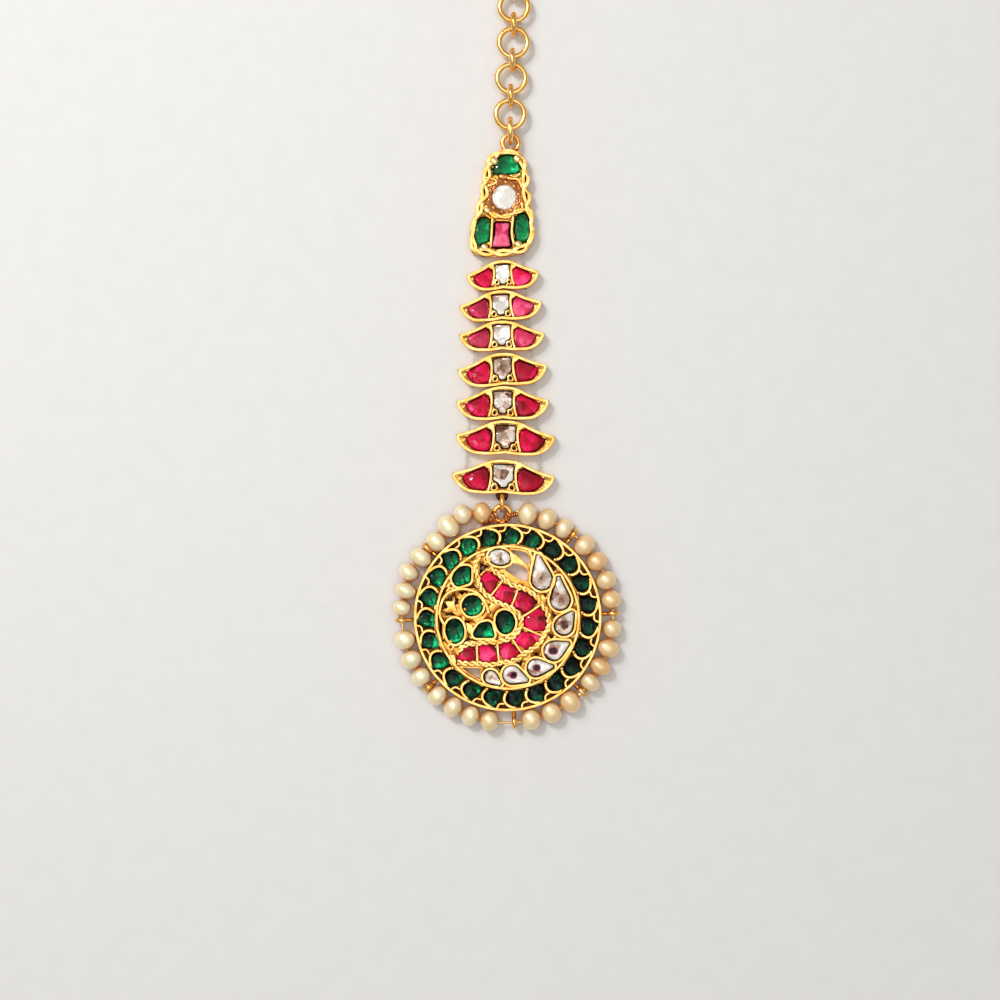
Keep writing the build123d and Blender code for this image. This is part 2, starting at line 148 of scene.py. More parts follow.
def addNode(tree, kind, inputs=None, **settings):
    node = tree.nodes.new("ShaderNode" + kind)
    for setting, value in settings.items():
        setattr(node, setting, value)
    feed(tree, node, inputs or {})
    return node


def addMath(tree, operation, *values, clamp=False):
    made = addNode(tree, "Math", dict(enumerate(values)), operation=operation, use_clamp=clamp)
    return made.outputs[0]


def addVector(tree, operation, *values):
    made = addNode(tree, "VectorMath", dict(enumerate(values)), operation=operation)
    return made.outputs["Value" if operation == "LENGTH" else "Vector"]


def addNoise(tree, place, scale, detail):
    return addNode(tree, "TexNoise", {"Vector": place, "Scale": scale, "Detail": detail}).outputs["Fac"]


def addParts(tree, vector):
    return addNode(tree, "SeparateXYZ", {0: vector}).outputs


def addRange(tree, value, ends):
    return addNode(tree, "MapRange", {"Value": value, **ends}).outputs[0]


def addShadeMask(tree, reach, samples=6):
    # a mask for painted shade: dark in corners and beside walls, light in the open
    return addNode(tree, "AmbientOcclusion", {"Distance": reach * mm}, samples=samples).outputs["AO"]


def addBump(tree, height, strength, depth):
    inputs = {"Height": height, "Strength": strength, "Distance": depth * mm}
    return addNode(tree, "Bump", inputs).outputs["Normal"]


def addRamp(tree, amount, stops):
    ramp = addNode(tree, "ValToRGB", {"Fac": amount})
    bands = ramp.color_ramp.elements
    while len(bands) < len(stops):
        bands.new(0.5)
    for band, (spot, colour) in zip(bands, stops):
        band.position = spot
        band.color = (*colour, 1)
    return ramp.outputs["Color"]


def mixColours(tree, amount, first, second):
    return addNode(tree, "Mix", {0: amount, 6: first, 7: second}, data_type="RGBA").outputs[2]


def ownPlace(tree):
    return addNode(tree, "TexCoord").outputs["Object"]


def goldFinish(name, look):
    finish, tree, shader = newFinish(name)
    place = ownPlace(tree)
    patches = addNoise(tree, place, look["patchScale"], 3.0)
    dents = addNoise(tree, place, look["dentScale"], 2.0)
    tint = addRamp(tree, patches, [(0.32, look["deep"]), (0.66, look["bright"])])
    # painted shade: the tint turns to the crevice shade colour in corners and beside wires
    crevice = addShadeMask(tree, look["creviceReach"])
    clear = addRange(tree, crevice, {"From Min": look["creviceDark"], "From Max": look["creviceClear"]})
    feed(tree, shader, {
        "Base Color": mixColours(tree, clear, look["crevice"], tint),
        "Roughness": addRange(tree, dents, {"To Min": look["smoothest"], "To Max": look["roughest"]}),
        "Normal": addBump(tree, dents, look["dentStrength"], look["dentDepth"]),
        "Metallic": 1.0,
    })
    return finish


goldLook = {
    "bright": (1.0, 0.68, 0.26),
    "deep": (1.0, 0.44, 0.075),
    "crevice": (0.26, 0.045, 0.008),
    "patchScale": 700.0,
    "dentScale": 2600.0,
    "dentStrength": 0.5,
    "dentDepth": 0.04,
    "creviceReach": 0.35,
    "creviceDark": 0.22,
    "creviceClear": 0.55,
    "smoothest": 0.16,
    "roughest": 0.36,
}
# painted highlight: a paler copy of the gold, as if more brightly lit
litLook = dict(goldLook, bright=(1.0, 0.77, 0.38), deep=(1.0, 0.60, 0.20))
shadedLook = dict(
    goldLook, bright=(1.0, 0.58, 0.14), deep=(0.86, 0.36, 0.05), crevice=(0.14, 0.030, 0.004),
    creviceReach=0.5, creviceClear=0.7, dentStrength=0.15, smoothest=0.28, roughest=0.5,
)
shelfLook = dict(shadedLook, bright=(1.0, 0.66, 0.20), deep=(0.92, 0.42, 0.08))
chainLook = dict(
    goldLook, bright=(1.0, 0.70, 0.29), deep=(1.0, 0.49, 0.10), patchScale=420.0, smoothest=0.12,
    roughest=0.26,
)
# painted shade: a near-black gold for pockets, hollows and gaps, standing in for the shade there
recessLook = dict(
    goldLook, bright=(0.13, 0.048, 0.010), deep=(0.020, 0.008, 0.003),
    crevice=(0.008, 0.003, 0.001), patchScale=900.0, smoothest=0.38, roughest=0.6,
)
foilLook = dict(
    goldLook, bright=(0.82, 0.36, 0.13), deep=(0.48, 0.17, 0.05), crevice=(0.22, 0.07, 0.025),
    patchScale=1100.0, creviceClear=0.75, smoothest=0.2, roughest=0.42,
)
settingGold = goldFinish("setting gold", goldLook)
litGold = goldFinish("pale gold", litLook)
chainGold = goldFinish("chain gold", chainLook)
recessGold = goldFinish("blackened recess", recessLook)
groundGold = goldFinish("shaded ground gold", shadedLook)
copperFoil = goldFinish("copper foil", foilLook)
shelfGold = goldFinish("crescent shelf gold", shelfLook)


def glassFinish(name, look):
    # foil-backed glass: cells of foil seen through a clear coat, with painted light across to the far side
    # and painted shade beside the walls
    finish, tree, shader = newFinish(name)
    cut = addNode(tree, "Attribute", attribute_name="cut").outputs["Vector"]
    across, along, tone = addParts(tree, cut)
    spread = addVector(tree, "MULTIPLY", cut, (1.0, 1.0, look["shuffle"]))
    foil, flecks = (
        addNode(tree, "TexVoronoi", {"Vector": spread, "Scale": scale}).outputs["Color"]
        for scale in (look["facetScale"], look["facetScale"] * look["fleckScale"])
    )
    reach = addVector(tree, "LENGTH", addVector(tree, "MULTIPLY", cut, (1.0, look["oval"], 0.0)))
    level = look["level"]
    # painted light: the level also rises across and along each stone, brighter on the side away from the
    # lamps
    for amount, share in (
        (across, "sweepAcross"),
        (along, "sweepAlong"),
        (addParts(tree, foil)[0], "scatter"),
        (addParts(tree, flecks)[1], "fleckScatter"),
        (reach, "towardsEdge"),
        (tone, "toneReach"),
    ):
        level = addMath(tree, "MULTIPLY_ADD", amount, look[share], level)
    # painted shade: darker where the walls of the setting stand close
    walls = addShadeMask(tree, look["edgeReach"])
    shade = addMath(tree, "MULTIPLY_ADD", walls, look["edgeDark"], -look["edgeDark"])
    colour = addRamp(tree, addMath(tree, "ADD", level, shade, clamp=True), look["stops"])
    if "pupils" in look:
        # a dark reflection near the middle of some stones, rosy at its border
        chosen = addMath(tree, "GREATER_THAN", tone, look["pupilTone"])
        wobble = addNoise(tree, spread, 2.4, 1.0)
        edge = addMath(tree, "MULTIPLY_ADD", wobble, look["pupilWobble"], reach)
        for size, tint in look["pupils"]:
            inside = addMath(tree, "LESS_THAN", edge, size)
            colour = mixColours(tree, addMath(tree, "MULTIPLY", inside, chosen), colour, tint)
    tilt = (look["facetTilt"],) * 3
    tilted = addVector(tree, "MULTIPLY_ADD", foil, tilt, [-part / 2 for part in tilt])
    facing = addNode(tree, "NewGeometry").outputs["Normal"]
    leant = addVector(tree, "ADD", tilted, facing)
    bowl = addVector(tree, "MULTIPLY_ADD", cut, (-look["bowl"], -look["bowl"], 0.0), leant)
    dome = addVector(tree, "MULTIPLY_ADD", cut, (look["dome"], look["dome"], 0.0), facing)
    feed(tree, shader, {
        "Base Color": colour,
        "Normal": addVector(tree, "NORMALIZE", bowl),
        "Metallic": look["metallic"],
        "Roughness": look["roughness"],
        "Specular IOR Level": 0.05,
        "Coat Normal": addVector(tree, "MULTIPLY_ADD", flecks, (look["glintTilt"],) * 3, dome),
        "Coat Weight": 1.0,
        "Coat Roughness": 0.03,
        "Coat IOR": look["coatIor"],
    })
    return finish


emeraldLook = {
    "stops": [
        (0.0, (0.0, 0.004, 0.002)),
        (0.35, (0.0, 0.024, 0.010)),
        (0.62, (0.0, 0.095, 0.034)),
        (0.85, (0.0, 0.29, 0.095)),
        (1.0, (0.02, 0.72, 0.28)),
    ],
    "facetScale": 1.05,
    "fleckScale": 3.1,  # against the facets
    "shuffle": 37.0,  # how differently two stones are cut
    "oval": 1.25,
    "level": -0.34,  # brightness before what follows is added
    "sweepAcross": 0.26,
    "sweepAlong": -0.42,
    "scatter": 0.55,
    "fleckScatter": 0.32,
    "towardsEdge": 0.0,
    "edgeReach": 0.5,
    "edgeDark": 0.45,
    "toneReach": 0.48,
    "facetTilt": 0.5,
    "bowl": 0.45,
    "dome": 0.5,
    "glintTilt": 0.3,
    "metallic": 0.35,
    "roughness": 0.22,
    "coatIor": 1.24,
}
rubyLook = dict(
    emeraldLook,
    stops=[
        (0.0, (0.05, 0.000, 0.005)),
        (0.35, (0.24, 0.001, 0.012)),
        (0.65, (0.58, 0.002, 0.034)),
        (0.88, (0.90, 0.005, 0.105)),
        (1.0, (1.0, 0.07, 0.24)),
    ],
    facetScale=0.9, level=0.10, sweepAcross=-0.05, sweepAlong=-0.22, scatter=0.60,
    fleckScatter=0.16, toneReach=0.42, facetTilt=0.3, bowl=0.25, glintTilt=0.4, metallic=0.2,
    roughness=0.3, coatIor=1.32,
)
paleRubyLook = dict(
    rubyLook,
    stops=[
        (0.0, (0.08, 0.002, 0.010)),
        (0.35, (0.28, 0.008, 0.030)),
        (0.65, (0.52, 0.024, 0.070)),
        (0.88, (0.70, 0.036, 0.12)),
        (1.0, (0.95, 0.14, 0.27)),
    ],
    glintTilt=0.5, scatter=0.7,
)
plateGreenLook = dict(
    emeraldLook,
    stops=[
        (0.0, (0.0, 0.006, 0.002)),
        (0.35, (0.0, 0.050, 0.014)),
        (0.62, (0.0, 0.125, 0.036)),
        (0.85, (0.0, 0.24, 0.065)),
        (1.0, (0.02, 0.48, 0.19)),
    ],
    level=-0.10, sweepAlong=-0.30, scatter=0.45, glintTilt=0.6, coatIor=1.34,
)
pinkLook = dict(
    rubyLook,
    stops=[(0.0, (0.20, 0.006, 0.02)), (0.5, (0.58, 0.03, 0.10)), (1.0, (0.95, 0.17, 0.30))],
    facetScale=1.3, scatter=0.8, glintTilt=0.6,
)
clearLook = dict(
    emeraldLook,
    stops=[
        (0.0, (0.10, 0.030, 0.020)),
        (0.2, (0.30, 0.15, 0.10)),
        (0.42, (0.52, 0.35, 0.25)),
        (0.60, (0.74, 0.58, 0.46)),
        (0.72, (1.0, 0.95, 0.88)),
    ],
    facetScale=1.9, level=-0.5, sweepAcross=0.1, sweepAlong=-0.12, scatter=0.74, fleckScatter=0.35,
    edgeDark=0.9, edgeReach=0.35, toneReach=0.8, facetTilt=0.7, bowl=0.35, metallic=0.3,
    roughness=0.16,
)
dropLook = dict(
    clearLook,
    pupilTone=0.6,  # stones of a higher tone show the reflection
    pupilWobble=0.4, pupils=[(0.488, (0.55, 0.12, 0.16)), (0.40, (0.025, 0.006, 0.008))],
    facetScale=1.5, scatter=0.62, towardsEdge=0.85, toneReach=0.5, coatIor=1.3,
)
brightLook = dict(
    clearLook, level=0.5, scatter=0.25, fleckScatter=0.1, towardsEdge=-0.35, edgeDark=0.4,
    toneReach=0.5,
)
emeraldGlass = glassFinish("emerald glass on foil", emeraldLook)
plateEmerald = glassFinish("brighter emerald glass", plateGreenLook)
rubyGlass = glassFinish("ruby glass on foil", rubyLook)
paleRubyGlass = glassFinish("pale ruby glass on foil", paleRubyLook)
pinkGlass = glassFinish("pink glass on foil", pinkLook)
clearGlass = glassFinish("clear glass on silver foil", clearLook)
dropGlass = glassFinish("clear drops on silver foil", dropLook)
brightGlass = glassFinish("bright clear glass", brightLook)

pearlLook = {
    "cream": (1.0, 0.84, 0.46),
    "pale": (1.0, 0.93, 0.64),
    "rose": (0.66, 0.28, 0.06),
    "tan": (0.92, 0.56, 0.22),
    "shadeReach": 3.6,
    "shadeDark": 0.42,
    "cloudScale": 330.0,
    "skinScale": 1500.0,
    "smoothest": 0.26,
    "roughest": 0.46,
    "bump": 0.4,
    "bumpDepth": 0.1,
    "lustre": 0.28,
    "coatIor": 1.9,
}


def pearlFinish(look):
    finish, tree, shader = newFinish("pearl")
    place = ownPlace(tree)
    clouds = addNoise(tree, place, look["cloudScale"], 2.0)
    skin = addNoise(tree, place, look["skinScale"], 4.0)
    tone = addNode(tree, "Attribute", attribute_name="tone").outputs["Fac"]
    body = addRamp(tree, clouds, [(0.35, look["cream"]), (0.65, look["pale"])])
    body = mixColours(tree, tone, body, look["tan"])
    # painted shade: the colour deepens to a shade tint towards the neighbours, the string and the floor
    clear = addRange(tree, addShadeMask(tree, look["shadeReach"], 8), {"From Min": look["shadeDark"]})
    feed(tree, shader, {
        "Base Color": mixColours(tree, clear, look["rose"], body),
        "Roughness": addRange(tree, skin, {"To Min": look["smoothest"], "To Max": look["roughest"]}),
        "Normal": addBump(tree, clouds, look["bump"], look["bumpDepth"]),
        "Metallic": look["lustre"],
        "Coat Weight": 1.0,
        "Coat Roughness": 0.3,
        "Coat IOR": look["coatIor"],
        "Subsurface Weight": 0.12,
        "Subsurface Scale": 0.6 * mm,
    })
    return finish


def threadFinish():
    finish, tree, shader = newFinish("clear thread")
    streaks = addNoise(tree, ownPlace(tree), 90.0, 1.0)
    feed(tree, shader, {
        "Base Color": addRamp(tree, streaks, [(0.3, (0.95, 0.94, 0.90)), (0.7, (1.0, 1.0, 0.98))]),
        "Roughness": addRange(tree, streaks, {"To Min": 0.02, "To Max": 0.12}),
        "Transmission Weight": 1.0,
        "IOR": 1.15,
    })
    return finish


pearlSkin = pearlFinish(pearlLook)
clearThread = threadFinish()
print("finishes made")


def mergedCopy(nodeName):
    # a CAD node's triangles joined at their corners
    shape = bmesh.new()
    shape.from_mesh(nodes[nodeName].data)
    bmesh.ops.remove_doubles(shape, verts=shape.verts, dist=0.0005 * mm)
    return shape


def joinFlats(shape, degrees):
    # triangles that lie in one plane become one face
    bmesh.ops.dissolve_limit(
        shape, angle_limit=math.radians(degrees), verts=shape.verts, edges=shape.edges
    )


def stoneOutlines(nodeName):
    # each stone's outline at its seat, counter-clockwise from above
    shape = mergedCopy(nodeName)
    joinFlats(shape, 0.5)
    undersides = [face for face in shape.faces if face.normal.z < -0.9]
    outlines = [[vert.co.copy() for vert in reversed(face.verts)] for face in undersides]
    shape.free()
    return outlines


def outerOutline(nodeName):
    # the longest closed outline of the flat underside, counter-clockwise from above
    shape = mergedCopy(nodeName)
    steps = {}
    for edge in shape.edges:
        level = all(abs(vert.co.z) < levelGap / 2 for vert in edge.verts)
        if level and sum(abs(face.normal.z) > 0.9 for face in edge.link_faces) == 1:
            first, second = edge.verts
            steps.setdefault(first.index, []).append(second.index)
            steps.setdefault(second.index, []).append(first.index)
    shape.verts.ensure_lookup_table()
    outlines = []
    while steps:
        here = next(iter(steps))
        walk = []
        while here in steps:
            walk.append(here)
            ways = steps.pop(here)
            here = next((way for way in ways if way in steps), None)
        outlines.append([shape.verts[index].co.copy() for index in walk])
    shape.free()
    longest = max(outlines, key=pathLength)
    return longest if signedArea(longest) > 0 else longest[::-1]


def pathLength(points):
    return sum((after - before).length for before, after in zip(points, points[1:]))


def signedArea(points):
    return sum(a.x * b.y - b.x * a.y for a, b in zip(points, points[1:] + points[:1])) / 2


def middleOf(points):
    return sum(points, Vector()) / len(points)


def outset(points, distance):
    # a closed counter-clockwise outline grown by a distance in millimetres
    grown = []
    for index, point in enumerate(points):
        sides = (point - points[index - 1], points[(index + 1) % len(points)] - point)
        normals = [Vector((side.y, -side.x, 0)).normalized() for side in sides]
        mitre = (normals[0] + normals[1]).normalized()
        grown.append(point + mitre * (distance * mm) / max(mitre.dot(normals[0]), 0.55))
    return grown


def evenly(points, step, closed=True):
    # the same path with its points evenly spaced, the step in millimetres
    path = points + points[:1] if closed else points
    count = max(4, round(pathLength(path) / (step * mm)))
    spacing = pathLength(path) / count
    spaced = [path[0].copy()]
    travelled = 0.0
    for before, after in zip(path, path[1:]):
        side = (after - before).length
        while side > 0 and travelled + side >= spacing * len(spaced) - 1e-9 and len(spaced) < count:
            share = (spacing * len(spaced) - travelled) / side
            spaced.append(before.lerp(after, share))
        travelled += side
    if not closed:
        spaced.append(path[-1].copy())
    return spaced


def drawLines(lines, closeness, bevel=0.0):
    # smooth lines, each its points, its radius in millimetres and closed or open
    curve = bpy.data.curves.new("lines", "CURVE")
    curve.dimensions = "3D"
    curve.bevel_depth = bevel
    curve.bevel_resolution = 2
    curve.use_fill_caps = True
    curve.resolution_u = closeness
    for points, radius, closed in lines:
        spline = curve.splines.new("NURBS")
        spline.points.add(len(points) - 1)
        for bead, point in zip(spline.points, points):
            bead.co = (*point, 1)
            bead.radius = radius
        spline.order_u = 3
        spline.use_cyclic_u = closed
        spline.use_endpoint_u = not closed
    holder = addObject("lines", curve)
    drawn = shownShape(holder)
    bpy.data.objects.remove(holder)
    return drawn


def smoothLine(points):
    drawn = drawLines([(points, 1.0, False)], 12)
    line = [vert.co.copy() for vert in drawn.verts]
    drawn.free()
    return line


wireLook = {
    "pressed": 0.8,  # share of a crest above the burnish height that is pressed away
    "waverScale": 700,  # how quickly the unevenness of a wire changes along it
}


def addWires(shape, wires, finish=0, closeness=3, burnish=None):
    # wires swept into the shape, their ends closed, their crests pressed flat at the burnish height
    swept = drawLines(wires, closeness, mm)
    bmesh.ops.remove_doubles(swept, verts=swept.verts, dist=1e-7)
    bmesh.ops.holes_fill(swept, edges=[edge for edge in swept.edges if edge.is_boundary], sides=16)
    for face in swept.faces:
        face.material_index = finish
    if burnish:
        for vert in swept.verts:
            vert.co.z -= wireLook["pressed"] * max(vert.co.z - burnish * mm, 0.0)
    addMesh(shape, asMesh("wires", swept))


def wavered(points, amount, seed):
    # the small unevenness of wire laid by hand, in millimetres
    shifted = []
    for point in points:
        drift = noise.noise_vector(point * wireLook["waverScale"] + Vector((seed, seed * 0.7, 0)))
        shifted.append(point + Vector((drift.x, drift.y, drift.z * 0.5)) * amount * mm)
    return shifted


def twistedPair(points, look, closed=False, swings=None):
    # two strands wound round one line, closer together where the swings say so
    path = evenly(points, look["step"], closed)
    swings = swings or [look["swing"]]
    strands = []
    for strand in range(2):
        wound = []
        for index, point in enumerate(path):
            ahead = path[(index + 1) % len(path)] if closed or index + 1 < len(path) else point
            behind = path[index - 1] if closed or index else point
            way = (ahead - behind).normalized()
            side = Vector((-way.y, way.x, 0))
            turn = math.pi * (strand + 2 * index * look["step"] / look["pitch"])
            lift = Vector((0, 0, math.sin(turn) * look["rise"] * mm))
            swing = swings[index * len(swings) // len(path)]
            wound.append(point + side * math.cos(turn) * swing * mm + lift)
        strands.append((wound, look["wire"], closed))
    return strands


def setFinish(verts, finish):
    for vert in verts:
        for face in vert.link_faces:
            face.material_index = finish


def addGranule(shape, place, halves, turn=0.0, finish=0):
    # a ball of gold with its own half size along each direction, turned about +Z
    size = Matrix.Diagonal((*(half * mm for half in halves), 1))
    matrix = Matrix.Translation(place) @ Matrix.Rotation(turn, 4, "Z") @ size
    ball = bmesh.ops.create_icosphere(shape, subdivisions=2, radius=1.0, matrix=matrix)
    setFinish(ball["verts"], finish)


def addPrism(shape, points, low, high, finish=0):
    # an upright closed form between two heights
    base = [shape.verts.new(lifted(point, low)) for point in points]
    face = shape.faces.new(base)
    raised = bmesh.ops.extrude_face_region(shape, geom=[face], use_keep_orig=True)["geom"]
    top = [item for item in raised if isinstance(item, bmesh.types.BMVert)]
    bmesh.ops.translate(shape, verts=top, vec=(0, 0, (high - low) * mm))
    setFinish(base + top, finish)
    return raised


def addLeaf(shape, points, low, high, bevel):
    # a small raised gold shape with softened edges
    raised = addPrism(shape, points, low, high)
    rims = [item for item in raised if isinstance(item, bmesh.types.BMEdge)]
    bmesh.ops.bevel(
        shape, geom=rims, offset=bevel * mm, offset_type="OFFSET", segments=3,
        affect="EDGES", profile=0.5, material=-1,
    )


def addPiece(name, shape, finishes, standsFor=(), crease=40.0):
    # nothing reaches past the CAD model's own box
    for vert in shape.verts:
        vert.co = [min(max(value, low), high) for value, low, high in zip(vert.co, *cadBounds)]
    bmesh.ops.recalc_face_normals(shape, faces=shape.faces)
    mesh = asMesh(name, shape, finishes)
    mesh.polygons.foreach_set("use_smooth", [True] * len(mesh.polygons))
    mesh.set_sharp_from_angle(angle=math.radians(crease))
    piece = addObject(name, mesh)
    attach(piece, "root")
    if standsFor:
        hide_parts(*standsFor)
    print(name, "made,", len(mesh.polygons), "faces")


stoneLook = {
    "girdle": 0.62,  # share of the stone's height that stands upright
    "shoulder": 0.88,  # share of the height at the upper row of facets
    "shoulderSpan": 0.90,
    "tableSpan": 0.66,
    "tableLean": 0.03,  # how far a table leans, in millimetres
    "brightBearing": 285,  # painted light: the green stones are brightest there, as if lit from that side, and nearly black opposite
    "greenTone": 0.55,
    "greenSwing": 0.42,
    "greenChance": 0.12,
    "darkDrops": (112, 192),  # the bearings between which the drops show a dark reflection
    # how far stones reach past their solids, under the wire
    "growth": {
        "rimStones": 0.1,
        "peacockGreens": 0.1,
        "peacockReds": 0.22,
        "peacockDrops": 0.1,
        "crescentReds": 0.18,
        "crescentClear": 0.12,
        "plateGreens": 0.24,
        "platePink": -0.04,
        "plateRound": 0.08,
    },
}


def isHollow(outline):
    # whether an outline has a corner that points inwards
    for index, point in enumerate(outline):
        before, after = point - outline[index - 1], outline[(index + 1) % len(outline)] - point
        if before.cross(after).z < -1e-9:  # less than this is rounding
            return True
    return False


def addHull(shape, rows):
    # the facets between the rows of a stone, as one closed hull
    verts = sum(rows, [])
    hull = bmesh.ops.convex_hull(shape, input=verts)
    loose = [item for item in hull["geom_interior"] if isinstance(item, bmesh.types.BMVert)]
    bmesh.ops.delete(shape, geom=loose, context="VERTS")
    return [vert for vert in verts if vert.is_valid]


def addBands(shape, rows):
    # the same for an outline that a hull would fill in
    for low, high in zip(rows, rows[1:]):
        for index in range(len(low)):
            after = (index + 1) % len(low)
            shape.faces.new((low[index], low[after], high[after], high[index]))
    shape.faces.new(rows[0][::-1])
    shape.faces.new(rows[-1])
    return sum(rows, [])


def addStone(shape, outline, top, tone, layer, chance):
    # an upright girdle, a row of facets and a table
    look = stoneLook
    centre = middleOf(outline)
    span = max((point - centre).length for point in outline)
    seat = outline[0].z
    shoulder = outline
    lean = Vector()
    hollow = isHollow(outline)
    if not hollow:
        shoulder = [(before + after) / 2 for before, after in zip(outline, outline[1:] + outline[:1])]
        lean = Vector((chance.uniform(-1, 1), chance.uniform(-1, 1), 0)) * look["tableLean"]
    rows = []
    for points, share, level in (
        (outline, 1.0, 0.0),
        (outline, 1.0, look["girdle"]),
        (shoulder, look["shoulderSpan"], look["shoulder"]),
        (outline, look["tableSpan"], 1.0),
    ):
        row = []
        for point in points:
            place = centre + (point - centre) * share
            sunk = abs(lean.dot(point - centre)) / span * mm if level == 1.0 else 0.0
            row.append(shape.verts.new((place.x, place.y, seat + (top - seat) * level - sunk)))
        rows.append(row)
    verts = addBands(shape, rows) if hollow else addHull(shape, rows)
    for vert in verts:
        reach = (vert.co - centre) / span
        vert[layer] = Vector((reach.x, reach.y, tone))


def stonePiece(name, nodeNames, finish, toneOf):
    chance = random.Random(name)
    growth = stoneLook["growth"][name.rstrip("1234567")]  # the crescents' pieces are numbered
    shape = bmesh.new()
    layer = shape.verts.layers.float_vector.new("cut")
    for nodeName in nodeNames:
        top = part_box(nodeName)[1].z
        for outline in stoneOutlines(nodeName):
            grown = outset(outline, growth)
            addStone(shape, grown, top, toneOf(middleOf(outline), chance), layer, chance)
    joinFlats(shape, 1.5)
    addPiece(name, shape, [finish], nodeNames, crease=2.0)


def greenTone(place, chance):
    look = stoneLook
    # painted light and shade: a green stone's tone follows its bearing round the disc
    swing = look["greenSwing"] * math.cos(math.radians(bearingOf(place) - look["brightBearing"]))
    tone = look["greenTone"] + swing + chance.uniform(-look["greenChance"], look["greenChance"])
    return min(max(tone, 0.0), 1.0)


def evenTone(place, chance):
    return chance.uniform(0.2, 0.9)


def dropTone(place, chance):
    first, last = stoneLook["darkDrops"]
    return chance.uniform(0.7, 0.9) if first < bearingOf(place) < last else chance.uniform(0.35, 0.55)


stonePiece("rimStones", ["disc_rim_stones"], emeraldGlass, greenTone)
stonePiece("peacockGreens", ["peacock_green_stones"], emeraldGlass, greenTone)
stonePiece("peacockReds", ["peacock_red_stones"], rubyGlass, evenTone)
stonePiece("peacockDrops", ["peacock_white_stones"], dropGlass, dropTone)
for number in range(1, 8):
    left, middle, right = (f"crescent_{number}_stone_{side}" for side in ("left", "middle", "right"))
    redGlass = paleRubyGlass if number in (2, 3) else rubyGlass
    deeper = (0.0, 0.25, 0.5)[(number > 3) + (number > 5)]  # the lower crescents' stones are darker
    redTone = lambda place, chance: evenTone(place, chance) - deeper
    stonePiece(f"crescentReds{number}", [left, right], redGlass, redTone)
    clear, bright = (clearGlass, 0.5) if number > 3 else (brightGlass, 0.7)
    clearTone = lambda place, chance: bright + 0.025 * number
    stonePiece(f"crescentClear{number}", [middle], clear, clearTone)
plateGreens = ["plate_stone_crown", "plate_stone_left", "plate_stone_right"]
stonePiece("plateGreens", plateGreens, plateEmerald, lambda place, chance: 0.8)
stonePiece("platePink", ["plate_stone_middle"], pinkGlass, evenTone)
stonePiece("plateRound", ["plate_stone_round"], brightGlass, lambda place, chance: 0.9)

# the numbers of the finishes in a gold piece
outside, sunkTop, recess, foil, pale = range(5)
discFinishes = [settingGold, groundGold, recessGold]
carving = {
    "top": 3.5,  # cutters end above every gold surface
    "floorRise": 0.03,  # from a stone's underside up to the floor of its widened pocket
    "edgeStep": 0.15,  # spacing along an outline that others are measured to
    "lineStep": 0.4,
    "wallGap": 0.12,  # faces this close to the outline are outer walls
}


def loweredFrame(nodeName, look, isBody):
    # a copy of a CAD frame whose flat top is sunk, so that the wires stand proud of it
    shape = mergedCopy(nodeName)
    flats = [face for face in shape.faces if face.normal.z > 0.99 and isBody(face.calc_center_median())]
    # slivers don't count
    high = max(face.calc_center_median().z for face in flats if face.calc_area() > 1e-9)
    low = min(vert.co.z for face in flats for vert in face.verts if face.calc_area() > 1e-8)
    tops = [face for face in flats if face.calc_center_median().z > high - levelGap]
    # painted shade: faces above the lowest flat, the pockets and hollows, take the near-black finish
    for face in shape.faces:
        if isBody(face.calc_center_median()) and min(vert.co.z for vert in face.verts) > low - levelGap:
            face.material_index = recess
    for face in tops:
        face.material_index = sunkTop
    for vert in {vert for face in tops for vert in face.verts}:
        vert.co.z = look["fill"] * mm
    return shape


def carve(shape, cutter, finishes):
    # the shape less its cutters, whose finish the cut faces take
    holders = []
    for part in (shape, cutter):
        bmesh.ops.recalc_face_normals(part, faces=part.faces)
        holders.append(addObject("carving", asMesh("carving", part, finishes)))
    cut = holders[0].modifiers.new("cut", "BOOLEAN")
    cut.operation = "DIFFERENCE"
    cut.solver = "EXACT"
    cut.object = holders[1]
    carved = shownShape(holders[0])
    for holder in holders:
        bpy.data.objects.remove(holder)
    return carved


def pocket(shape, outline, floor, finish, finishes):
    # an upright pocket from a floor height up through the top
    cutter = bmesh.new()
    addPrism(cutter, outline, floor, carving["top"], finish)
    return carve(shape, cutter, finishes)


def stoneRoom(stone, clear):
    # the outline and floor of the pocket round a stone
    return outset(stone, clear), stone[0].z / mm + carving["floorRise"]


def stonePockets(shape, stem, look, finishes):
    for name, clear in look["pocket"].items():
        for stone in stoneOutlines(stem + name):
            shape = pocket(shape, *stoneRoom(stone, clear), recess, finishes)
    return shape


def brightWalls(shape, outline):
    # the outer walls keep the outside's finish, also round the thread holes
    shape.normal_update()
    edge = evenly(outline, carving["edgeStep"])
    for face in shape.faces:
        if face.material_index == recess and abs(face.normal.z) < 0.5:
            place = face.calc_center_median()
            if min(levelStep(spot, place).length for spot in edge) < carving["wallGap"] * mm:
                face.material_index = outside


